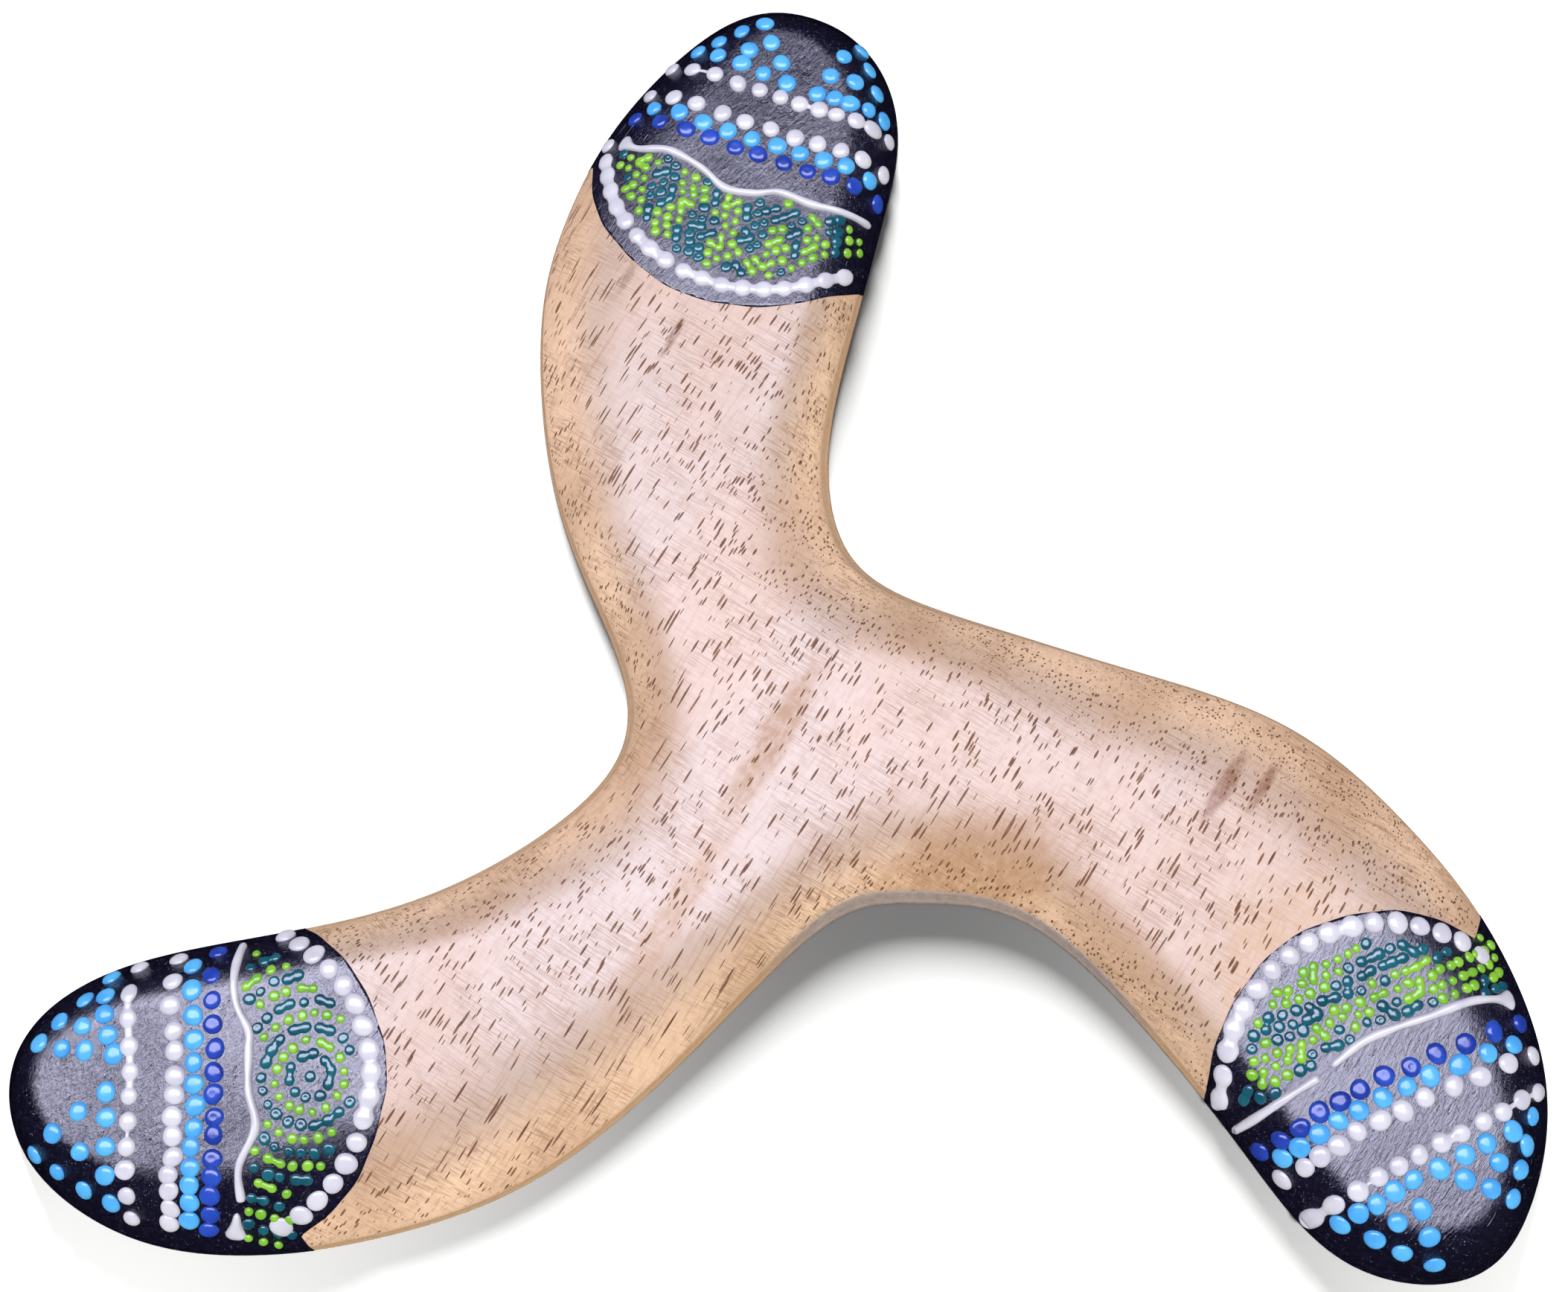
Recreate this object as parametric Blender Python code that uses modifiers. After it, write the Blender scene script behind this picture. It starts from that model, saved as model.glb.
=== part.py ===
"""A three-armed wooden boomerang with dot-painted tips.

The board is carved from one piece of hardwood, flat underneath and domed on top. Each tip
carries a coat of dark lacquer, and raised paint lies on the coat in rows, fans and arcs.
Lengths here are in millimetres and are turned into metres as each mesh is made. +Z is up,
+Y points along the north arm, and the origin is under the middle of the hub.
"""

import math

import bmesh
import bpy
import numpy as np
from mathutils import Vector
from mathutils.bvhtree import BVHTree

MM = 0.001

# The board is this thick along the middle of each arm, and rolls off to the rim as a power curve.
CROWN = 10.0
ROUNDING = 2.2
BOARD_LEVELS = 2

# The lacquer is a skin let into the tip, with an air gap to the wood.
GAP = 0.3
COAT = 0.4
COAT_FOOT = 0.7
CUTTER_TOP = 20.0
FAR = 70.0
REACH = 170.0
ARC_POINTS = 25

# Raised paint.
LIFT = 0.5
PAINT = 0.6
RIM_MARGIN = 1.9
BEAD_RADIUS = 1.5
BEAD_WAIST = 0.35
HEXAGON = math.sqrt(3) / 2
BORDER_PITCH = 4.0
WAVE_WIDTH = 1.3
WAVE_STEP = 3.0
FAN_CELLS = (1, 2, 3, 4)
FAN_FILL = 0.82
ARC_WIDTH = 1.5
ARC_STEP = 4.2
WAVE_CLEARANCE = 2.3
BORDER_CLEARANCE = 3.3

# An arm's rim has a point at each of seven stations up its left side, the tip, and six
# stations down its right side. The seventh on the right is the next arm's first. At each
# point: how far in from the rim the dome reaches the crown, the height of the rim's wall,
# and how far the wall leans in over that height. The wall is tallest in the notches.
STATIONS = 7
RIM_SECTIONS = (
    (14, 3.8, 1.8), (15, 3.0, 1.2), (20, 2.4, 0.9), (22, 2.2, 0.8), (20, 2.2, 0.8),
    (16, 2.2, 0.8), (12, 2.2, 0.8), (9, 2.2, 0.8), (9, 2.2, 0.8), (9, 2.2, 0.8),
    (9, 2.4, 0.8), (10, 2.8, 0.9), (14, 3.4, 1.4), (19, 3.8, 1.8),
)

# Every place below is in its own arm's frame: x across the arm, y out from the hub. A row
# is its first, middle and last point. A circle is its centre and radius.
ARMS = {
    "north": {
        "turn": 0,
        "rim": (
            (-27.5, 5.5), (-32.5, 22), (-42.5, 47), (-46.5, 79), (-43, 101), (-34, 121), (-19, 138.5),
            (-3.5, 145.8), (13.2, 139.4), (21, 122), (18.5, 102), (13, 79.5), (8.5, 56), (11, 37.5),
        ),
        "coat_edge": ((-4.8, 112.2), 32.7),
        "border": ((-4.8, 112.2), 29.6),
        "waves": (
            ((-29, 113.5), (-21.7, 111.5), (-15.7, 107.9), (-11.2, 103.7), (-5.8, 102.5),
             (-0.8, 102.6), (5.1, 100.1), (10, 98.8), (14.5, 98.3)),
        ),
        "base_row": ((-28.9, 120.5), (-4.8, 110.2), (17.2, 103.4)),
        "row_spacing": 2.8,
        "outer_row": ((-22.3, 131.9), (0.7, 121.4), (19.4, 115.9)),
        "fans": (
            ((-4.1, 139), (-16.5, 132.5), (0.4, 125.3)),
            ((12.8, 133.4), (6, 123.2), (17.2, 120.4)),
        ),
        "rings": ((-4.8, 112.2), (25.5, 22.8, 20.1, 17.4, 14.7)),
    },
    "right": {
        "turn": -120,
        "rim": (
            (-34.5, 5), (-38, 25), (-43, 48), (-47.5, 76), (-42.5, 101.5), (-33, 122), (-16.5, 140),
            (3.5, 147.5), (20, 144), (28, 125.5), (21, 103.5), (11.5, 79.5), (6, 54), (12, 36.5),
        ),
        "coat_edge": ((1, 119.5), 30.3),
        "border": ((1, 119.5), 28.0),
        "waves": (
            ((-22.3, 127.5), (-19.1, 123), (-12.5, 118.2), (-7.5, 112.9), (-5, 110.3), (2.4, 107.7)),
            ((4.9, 106.8), (12.1, 103), (17.8, 100.6)),
        ),
        "base_row": ((-20.5, 131.9), (1.2, 114.7), (19.9, 105)),
        "row_spacing": 2.8,
        "outer_row": ((-11.8, 139.5), (5.9, 127.1), (24.8, 116.9)),
        "fans": (
            ((5.9, 142), (-7.5, 139), (8.3, 129.8)),
            ((20.2, 136.2), (11.6, 127.8), (22.9, 121.6)),
        ),
        "rings": ((1, 119.5), (24, 21.3, 18.6, 15.9, 13.2)),
    },
    "left": {
        "turn": 120,
        "rim": (
            (-32.5, 5), (-35.5, 23.5), (-42, 47.5), (-45.5, 76), (-40.5, 102.5), (-33, 121), (-20, 138.5),
            (1, 149), (18.5, 143), (23, 126), (18, 105), (9.5, 79.5), (6, 55), (9, 32.5),
        ),
        "coat_edge": ((-5.6, 111.6), 28.9),
        "border": ((-5.6, 111.6), 26.4),
        "waves": (
            ((-29.2, 120.8), (-26.7, 118.9)),
            ((-24.6, 116.6), (-19.9, 114.2), (-15.5, 109), (-9.5, 107.4), (-3.6, 104.6),
             (-0.6, 103.2), (5.5, 102.9), (12.4, 99.9)),
        ),
        "base_row": ((-26.3, 124.5), (-7.1, 112.8), (16.9, 103.6)),
        "row_spacing": 3.4,
        "outer_row": ((-17.9, 135), (1.6, 125), (21.1, 116.9)),
        "fans": (
            ((-0.5, 144), (-14.3, 136.7), (2.6, 128.9)),
            ((15.6, 136.4), (7.6, 126.2), (19.2, 122.6)),
        ),
        "rings": ((-12.5, 97.3), (4, 6.6, 9.2, 11.8, 14.4)),
    },
}
ROW_BEADS = 11
OUTER_BEADS = 12
STACKED_ROWS = ("royal", "sky", "white")
ARC_COLOURS = ("teal", "lime")

# Colour, roughness and how much of the gloss coat each finish has.
FINISHES = {
    "wood": ((0.68, 0.44, 0.25), 0.35, 0.5),
    "lacquer": ((0.012, 0.011, 0.02), 0.15, 1.0),
    "white": ((0.82, 0.8, 0.84), 0.25, 0.5),
    "royal": ((0.02, 0.07, 0.5), 0.2, 0.5),
    "sky": ((0.09, 0.45, 0.85), 0.2, 0.5),
    "lime": ((0.25, 0.55, 0.02), 0.2, 0.5),
    "teal": ((0.005, 0.12, 0.16), 0.2, 0.5),
}


# Plan geometry.


def turned(points, degrees):
    angle = math.radians(degrees)
    turn = np.array([[math.cos(angle), math.sin(angle)], [-math.sin(angle), math.cos(angle)]])
    return np.asarray(points, float) @ turn


def spline_controls(points):
    """Control points of the closed cubic B-spline that passes through the points."""
    count = len(points)
    matrix = np.zeros((count, count))
    for i in range(count):
        matrix[i, i] = 4 / 6
        matrix[i, i - 1] = 1 / 6
        matrix[i, (i + 1) % count] = 1 / 6
    return np.linalg.solve(matrix, points)


def spline_samples(controls, steps):
    """Points along the closed cubic B-spline, with this many steps to each control point."""
    t = np.arange(steps)[:, None] / steps
    weights = ((1 - t) ** 3, 3 * t**3 - 6 * t**2 + 4, -3 * t**3 + 3 * t**2 + 3 * t + 1, t**3)
    count = len(controls)
    spans = []
    for i in range(count):
        span = sum(w * controls[(i + k - 1) % count] for k, w in enumerate(weights))
        spans.append(span / 6)
    return np.concatenate(spans)


def smooth_path(points, step):
    """Points about a step apart on the Catmull-Rom curve through the given ones."""
    p = np.asarray(points, float)
    p = np.vstack((2 * p[0] - p[1], p, 2 * p[-1] - p[-2]))
    path = []
    for a, b, c, d in zip(p, p[1:], p[2:], p[3:]):
        spans = max(1, round(float(np.linalg.norm(c - b)) / step))
        for t in np.arange(spans) / spans:
            bend = a - 2.5 * b + 2 * c - d / 2
            twist = 1.5 * (b - c) + (d - a) / 2
            path.append(b + t * (c - a) / 2 + t**2 * bend + t**3 * twist)
    path.append(p[-2])
    return np.array(path)


def row_points(row, count):
    """Evenly spaced points on the parabola through a row's first, middle and last point."""
    first, middle, last = (np.array(p, float) for p in row)
    t = np.linspace(0, 1, count)[:, None]
    return first * (1 - t) * (1 - 2 * t) + middle * 4 * t * (1 - t) + last * t * (2 * t - 1)


def circle_points(centre, radius, start, end, count):
    angles = np.radians(np.linspace(start, end, count))
    return np.column_stack((centre[0] + radius * np.cos(angles), centre[1] + radius * np.sin(angles)))


def normals_of(path, closed=False):
    """Unit normals to the left of a path."""
    if closed:
        along = np.roll(path, -1, 0) - np.roll(path, 1, 0)
    else:
        along = np.gradient(path, axis=0)
    along /= np.linalg.norm(along, axis=1)[:, None]
    return np.column_stack((-along[:, 1], along[:, 0]))


RIM_POINTS = np.concatenate([turned(arm["rim"], arm["turn"]) for arm in ARMS.values()])
RIM_CONTROLS = spline_controls(RIM_POINTS)
RIM_LINE = spline_samples(
    spline_controls(np.column_stack((RIM_POINTS, np.tile(RIM_SECTIONS, (len(ARMS), 1))))), steps=8
)


def rim_measures(points):
    """From each point to each short piece of the rim: the offset, the distance and the section there."""
    start = RIM_LINE[:, :2]
    along = np.roll(start, -1, 0) - start
    offset = np.asarray(points, float)[:, None] - start
    t = np.clip((offset * along).sum(-1) / (along**2).sum(-1), 0, 1)[..., None]
    distance = np.linalg.norm(offset - t * along, axis=-1)
    sections = RIM_LINE[:, 2:] * (1 - t) + np.roll(RIM_LINE[:, 2:], -1, 0) * t
    turn = along[:, 0] * offset[..., 1] - along[:, 1] * offset[..., 0]
    return np.where(turn < 0, distance, -distance), sections


def pick(values, index):
    return values[np.arange(len(index)), index]


def rim_distance(points):
    """Distance in from the rim at each point, negative outside. The rim runs clockwise."""
    distance = rim_measures(points)[0]
    return pick(distance, np.abs(distance).argmin(1))


def rim_section(points):
    """The wall's height and lean at the piece of rim nearest to each point."""
    distance, sections = rim_measures(points)
    return pick(sections, np.abs(distance).argmin(1))[:, 1:]


def top_height(points):
    """The dome's height: it climbs from the top of the rim's wall to the crown."""
    distance, sections = rim_measures(points)
    roll_off, wall, lean = np.moveaxis(sections, -1, 0)
    share = np.clip((np.abs(distance) - lean) / roll_off, 0, 1)
    nearest = share.argmin(1)
    wall = pick(wall, nearest)
    return wall + (CROWN - wall) * (1 - (1 - pick(share, nearest)) ** ROUNDING)


def wave_height(arm, x):
    """How far out the wavy line runs, at each x of an arm's frame."""
    points = sorted(point for wave in arm["waves"] for point in wave)
    return np.interp(x, [p[0] for p in points], [p[1] for p in points])


# Objects.


def new_collection(name):
    collection = bpy.data.collections.new(name)
    bpy.context.scene.collection.children.link(collection)
    return collection


def new_material(name, finish):
    colour, roughness, gloss = FINISHES[finish]
    material = bpy.data.materials.new(name)
    material.use_nodes = True
    shader = material.node_tree.nodes["Principled BSDF"]
    shader.inputs["Base Color"].default_value = (*colour, 1)
    shader.inputs["Roughness"].default_value = roughness
    shader.inputs["Metallic"].default_value = 0
    shader.inputs["Coat Weight"].default_value = gloss
    return material


def object_from(name, mesh, collection, finish=None):
    obj = bpy.data.objects.new(name, mesh)
    collection.objects.link(obj)
    if finish:
        mesh.materials.append(new_material(name, finish))
    else:
        obj.hide_render = True
        obj.display_type = "WIRE"
    return obj


def mesh_from(bm, name):
    """The bmesh as a mesh in metres, with its faces turned out."""
    bmesh.ops.scale(bm, vec=(MM, MM, MM), verts=bm.verts)
    mesh = bpy.data.meshes.new(name)
    bm.to_mesh(mesh)
    bm.free()
    mesh.shade_smooth()
    mesh.set_sharp_from_angle(angle=math.radians(35))
    return mesh


def boolean(obj, operation, other):
    modifier = obj.modifiers.new(other.name, "BOOLEAN")
    modifier.operation = operation
    modifier.object = other


# The board.


def board_cage():
    """Corners and faces of the board's flat cage: two quads wide along each arm.

    The last middle corner is drawn back towards the hub, so that the tip's quad is a full one.
    """
    corners = [tuple(p) for p in RIM_CONTROLS]
    per_arm = len(RIM_SECTIONS)
    rim_count = len(corners)
    hub = rim_count + STATIONS * len(ARMS)

    def left(arm, station):
        return (per_arm * arm + station) % rim_count

    def right(arm, station):
        return (per_arm * (arm + 1) - station) % rim_count

    def middle(arm, station):
        return rim_count + STATIONS * (arm % len(ARMS)) + station

    faces = []
    for arm in range(len(ARMS)):
        ends = [RIM_CONTROLS[left(arm, k)] + RIM_CONTROLS[right(arm, k)] for k in range(STATIONS)]
        middles = [pair / 2 for pair in ends]
        middles[-1] = (middles[-1] + middles[-2]) / 2
        corners += [tuple(point) for point in middles]
        for station in range(STATIONS - 1):
            after = station + 1
            faces.append((left(arm, station), middle(arm, station), middle(arm, after), left(arm, after)))
            faces.append((middle(arm, station), right(arm, station), right(arm, after), middle(arm, after)))
        last = STATIONS - 1
        faces.append((left(arm, last), middle(arm, last), right(arm, last), left(arm, STATIONS)))
        faces.append((hub, middle(arm + 1, 0), right(arm, 0), middle(arm, 0)))
    corners.append((0, 0))
    return corners, faces


def board_plan():
    """The board's outline as a flat, finely divided mesh, in millimetres."""
    corners, faces = board_cage()
    cage = bpy.data.meshes.new("board_cage")
    cage.from_pydata([(x, y, 0) for x, y in corners], [], faces)
    guide = bpy.data.objects.new("board_cage", cage)
    bpy.context.scene.collection.objects.link(guide)
    subdivision = guide.modifiers.new("Subdivision", "SUBSURF")
    subdivision.levels = BOARD_LEVELS
    subdivision.render_levels = BOARD_LEVELS
    subdivision.boundary_smooth = "ALL"
    evaluated = guide.evaluated_get(bpy.context.evaluated_depsgraph_get())
    plan = bpy.data.meshes.new_from_object(evaluated)
    bpy.data.objects.remove(guide)
    return plan


def rim_loop(bm):
    """The rim's vertices in order, with the board on the left."""
    edge = next(e for e in bm.edges if e.is_boundary)
    loop = edge.link_loops[0]
    ordered = []
    while not ordered or loop.vert != ordered[0]:
        ordered.append(loop.vert)
        loop = loop.link_loop_next
        while not loop.edge.is_boundary:
            loop = loop.link_loop_radial_next.link_loop_next
    return ordered


def board_bmesh(plan, inset, floor):
    """The board as a closed solid whose top and wall lie inset within the full board's."""
    bm = bmesh.new()
    bm.from_mesh(plan)
    bmesh.ops.triangulate(bm, faces=bm.faces)
    places = np.array([v.co.xy for v in bm.verts])
    for vertex, height in zip(bm.verts, top_height(places)):
        vertex.co.z = height - inset
    rim = rim_loop(bm)
    edge = np.array([v.co.xy for v in rim])
    foot = []
    for vertex, inward, (wall, lean) in zip(rim, normals_of(edge, closed=True), rim_section(edge)):
        place = np.array(vertex.co.xy)
        foot.append(bm.verts.new((*(place + inset * inward), floor)))
        vertex.co = (*(place + (inset + lean) * inward), wall - inset)
    for i, low in enumerate(foot):
        bm.faces.new((rim[i], rim[i - 1], foot[i - 1], low))
    bm.faces.new(reversed(foot))
    bmesh.ops.recalc_face_normals(bm, faces=bm.faces)
    return bm


def tip_prism(arm, growth, floor):
    """A block over an arm's tip, whose hub side is the coat's edge moved out by growth."""
    centre, radius = arm["coat_edge"]
    radius += growth
    shoulder = centre[1] - growth
    skip = math.degrees(math.asin(growth / radius))
    arc = circle_points(centre, radius, 180 + skip, 360 - skip, ARC_POINTS)
    outline = [(-FAR, shoulder), *arc, (FAR, shoulder), (FAR, REACH), (-FAR, REACH)]
    bm = bmesh.new()
    base = [bm.verts.new((x, y, floor)) for x, y in turned(outline, arm["turn"])]
    lid = bmesh.ops.extrude_face_region(bm, geom=[bm.faces.new(base)])["geom"]
    risen = [v for v in lid if isinstance(v, bmesh.types.BMVert)]
    bmesh.ops.translate(bm, vec=(0, 0, CUTTER_TOP), verts=risen)
    bmesh.ops.recalc_face_normals(bm, faces=bm.faces)
    return bm


def make_board(plan, parts, cutters):
    """The wooden board, with a shallow recess at each tip for its coat."""
    bed = object_from("coat_bed", mesh_from(board_bmesh(plan, COAT + GAP, -1), "coat_bed"), cutters)
    board = object_from("wood_body", mesh_from(board_bmesh(plan, 0, 0), "wood_body"), parts, "wood")
    for name, arm in ARMS.items():
        prism = mesh_from(tip_prism(arm, GAP, COAT_FOOT - GAP), "recess_" + name)
        recess = object_from("recess_" + name, prism, cutters)
        boolean(recess, "DIFFERENCE", bed)
        boolean(board, "DIFFERENCE", recess)


def make_coats(plan, parts, cutters):
    """The dark skins over the tips, from the coat's edge round to the foot of the rim."""
    under = object_from("under_coat", mesh_from(board_bmesh(plan, COAT, -1), "under_coat"), cutters)
    for name, arm in ARMS.items():
        prism = mesh_from(tip_prism(arm, 0, COAT_FOOT), "tip_" + name)
        tip = object_from("tip_" + name, prism, cutters)
        skin = mesh_from(board_bmesh(plan, 0, 0), "base_coat_" + name)
        coat = object_from("base_coat_" + name, skin, parts, "lacquer")
        boolean(coat, "INTERSECT", tip)
        boolean(coat, "DIFFERENCE", under)


# Raised paint. Each piece is drawn flat in an arm's frame, draped over the coat and thickened.


def make_paint(name, arm, outline, faces, surface, parts, finish):
    bm = bmesh.new()
    corners = [bm.verts.new((x, y, 0)) for x, y in turned(outline, arm["turn"])]
    for face in faces:
        bm.faces.new([corners[i] for i in face])
    bmesh.ops.recalc_face_normals(bm, faces=bm.faces)
    bmesh.ops.poke(bm, faces=bm.faces)
    if sum(face.normal.z for face in bm.faces) < 0:
        bmesh.ops.reverse_faces(bm, faces=bm.faces)
    for vertex in bm.verts:
        above = Vector((vertex.co.x, vertex.co.y, CUTTER_TOP))
        spot, normal = surface.ray_cast(above, Vector((0, 0, -1)))[:2]
        vertex.co = spot + LIFT * normal
    obj = object_from(name, mesh_from(bm, name), parts, finish)
    solid = obj.modifiers.new("Thickness", "SOLIDIFY")
    solid.thickness = PAINT * MM
    solid.offset = 1


def on_board(arm, points, margin):
    """The points of a row that lie at least a margin inside the rim."""
    distance = rim_distance(turned(points, arm["turn"]))
    return points[distance > margin]


def bead_string(centres, radius):
    """Outline and faces of a row of beads, each a hexagon joined to the next at a narrow waist."""
    sideways = normals_of(centres)
    along = np.column_stack((sideways[:, 1], -sideways[:, 0]))
    waists = (centres[:-1] + centres[1:]) / 2
    waist_sides = normals_of(np.vstack((centres[0], waists, centres[-1])))[1:-1]
    last = len(centres) - 1
    points = []
    faces = []
    for i, centre in enumerate(centres):
        bead = []
        for side in (1, -1):
            for way in (-side, side):
                bead.append(centre + side * radius * HEXAGON * sideways[i] + way * radius / 2 * along[i])
        start = waists[i - 1] if i > 0 else centre - radius * along[i]
        end = waists[i] if i < last else centre + radius * along[i]
        start_side = waist_sides[i - 1] * BEAD_WAIST if i > 0 else sideways[i] * radius / 3
        end_side = waist_sides[i] * BEAD_WAIST if i < last else sideways[i] * radius / 3
        first = len(points)
        if i == 0:
            points += [start + start_side, start - start_side]
            joint = (first, first + 1)
            first += 2
        points += [bead[0], bead[1], end + end_side, end - end_side, bead[2], bead[3]]
        faces.append((joint[0], first, first + 1, first + 2, first + 3, first + 4, first + 5, joint[1]))
        joint = (first + 2, first + 3)
    return points, faces


def ribbon(path, width):
    sideways = normals_of(path) * width / 2
    points = np.concatenate((path + sideways, path - sideways))
    count = len(path)
    faces = [(i, i + 1, count + i + 1, count + i) for i in range(count - 1)]
    return points, faces


def honeycomb(apex, left, right):
    """Outline and faces of a fan of dots: hexagons in rows that widen from apex to base."""
    apex, left, right = (np.array(p, float) for p in (apex, left, right))
    rows = len(FAN_CELLS)
    middle = (apex + left + right) / 3
    apex, left, right = (middle + FAN_FILL * (p - middle) for p in (apex, left, right))
    down = ((left + right) / 2 - apex) / (rows - 1)
    across = (right - left) / (rows - 1)
    corners = [(0, -2 / 3), (0.5, -1 / 3), (0.5, 1 / 3), (0, 2 / 3), (-0.5, 1 / 3), (-0.5, -1 / 3)]
    points = []
    index = {}
    faces = []
    for row, cells in enumerate(FAN_CELLS):
        for cell in range(cells):
            face = []
            for dx, dy in corners:
                spot = (round(6 * (cell - (cells - 1) / 2 + dx)), round(3 * (row + dy)))
                if spot not in index:
                    index[spot] = len(points)
                    points.append(apex + across * spot[0] / 6 + down * spot[1] / 3)
                face.append(index[spot])
            faces.append(face)
    return points, faces


def field_arc(arm, centre, radius):
    """The longest stretch of a circle that lies between the border and the wavy line."""
    count = max(12, round(2 * math.pi * radius / ARC_STEP))
    circle = circle_points(centre, radius, -270, 90, count + 1)[:-1]
    border_centre, border_radius = arm["border"]
    from_border = border_radius - np.linalg.norm(circle - border_centre, axis=1)
    keep = (
        (from_border > BORDER_CLEARANCE)
        & (wave_height(arm, circle[:, 0]) - circle[:, 1] > WAVE_CLEARANCE)
        & (rim_distance(turned(circle, arm["turn"])) > RIM_MARGIN + ARC_WIDTH)
    )
    best = []
    run = []
    for point, good in zip(circle, keep):
        run = [*run, point] if good else []
        if len(run) > len(best):
            best = run
    return np.array(best)


def stacked_row(arm, level):
    """A row of the packed band: each lies one spacing farther out and is staggered half a pitch."""
    base = row_points(arm["base_row"], 2 * ROW_BEADS - 1)
    outward = normals_of(base)
    shifted = base + outward * arm["row_spacing"] * level
    return shifted[1::2] if level % 2 else shifted[::2]


def make_tip_paint(name, arm, surface, parts):
    margin = BEAD_RADIUS + RIM_MARGIN

    def paint(piece, shape, finish):
        make_paint(f"{piece}_{name}", arm, *shape, surface, parts, finish)

    centre, radius = arm["border"]
    beads = round(math.pi * radius / BORDER_PITCH)
    border = on_board(arm, circle_points(centre, radius, 180, 360, beads + 1), margin)
    paint("border_beads", bead_string(border, BEAD_RADIUS), "white")
    for number, wave in enumerate(arm["waves"], start=1):
        paint(f"wave_line_{number}", ribbon(smooth_path(wave, WAVE_STEP), WAVE_WIDTH), "white")
    for level, colour in enumerate(STACKED_ROWS):
        row = on_board(arm, stacked_row(arm, level), margin)
        paint(f"{colour}_row", bead_string(row, BEAD_RADIUS), colour)
    outer = on_board(arm, row_points(arm["outer_row"], OUTER_BEADS), margin)
    paint("outer_row", bead_string(outer, BEAD_RADIUS), "white")
    for side, fan in zip(("lead", "trail"), arm["fans"]):
        paint(f"sky_fan_{side}", honeycomb(*fan), "sky")
    ring_centre, radii = arm["rings"]
    for number, radius in enumerate(radii):
        colour = ARC_COLOURS[number % 2]
        arc = field_arc(arm, ring_centre, radius)
        paint(f"{colour}_arc_{number // 2 + 1}", ribbon(arc, ARC_WIDTH), colour)


def main():
    for obj in list(bpy.data.objects):
        bpy.data.objects.remove(obj)
    parts = new_collection("boomerang")
    cutters = new_collection("cutters")
    plan = board_plan()
    make_board(plan, parts, cutters)
    make_coats(plan, parts, cutters)
    surface = BVHTree.FromBMesh(board_bmesh(plan, 0, 0))
    for name, arm in ARMS.items():
        make_tip_paint(name, arm, surface, parts)
    bpy.data.meshes.remove(plan)


main()
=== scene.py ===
"""Looks of the three-armed wooden boomerang: carved and varnished wood, dark lacquered tips and
raised dot painting. Plan places are in millimetres, in each arm's own frame, and become metres
as each mesh is made.
"""

import math

import bmesh
import bpy
import numpy as np
from mathutils import Matrix, Vector
from numpy.linalg import norm


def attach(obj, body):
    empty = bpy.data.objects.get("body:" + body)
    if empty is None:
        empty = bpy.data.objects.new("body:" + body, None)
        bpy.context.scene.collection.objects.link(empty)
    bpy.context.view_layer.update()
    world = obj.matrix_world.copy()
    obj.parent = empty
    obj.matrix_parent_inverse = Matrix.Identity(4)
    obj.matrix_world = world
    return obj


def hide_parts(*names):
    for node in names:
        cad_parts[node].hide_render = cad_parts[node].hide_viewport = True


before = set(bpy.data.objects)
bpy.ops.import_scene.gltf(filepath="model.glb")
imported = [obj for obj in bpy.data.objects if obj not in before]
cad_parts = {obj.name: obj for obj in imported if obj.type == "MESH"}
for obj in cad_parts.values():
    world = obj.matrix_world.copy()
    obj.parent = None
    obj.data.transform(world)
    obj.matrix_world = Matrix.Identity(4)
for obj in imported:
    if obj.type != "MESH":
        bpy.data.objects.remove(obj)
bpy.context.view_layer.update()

MM = 0.001

# The board, as in the CAD model. The rim's section at each of an arm's points is its roll-off width,
# wall height and lean.
CROWN = 10.0
ROUNDING = 2.2
BOARD_LEVELS = 5
STATIONS = 7
RIM_SECTIONS = (
    (14, 3.8, 1.8), (15, 3.0, 1.2), (20, 2.4, 0.9), (22, 2.2, 0.8), (20, 2.2, 0.8),
    (16, 2.2, 0.8), (12, 2.2, 0.8), (9, 2.2, 0.8), (9, 2.2, 0.8), (9, 2.2, 0.8),
    (9, 2.4, 0.8), (10, 2.8, 0.9), (14, 3.4, 1.4), (19, 3.8, 1.8),
)

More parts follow.
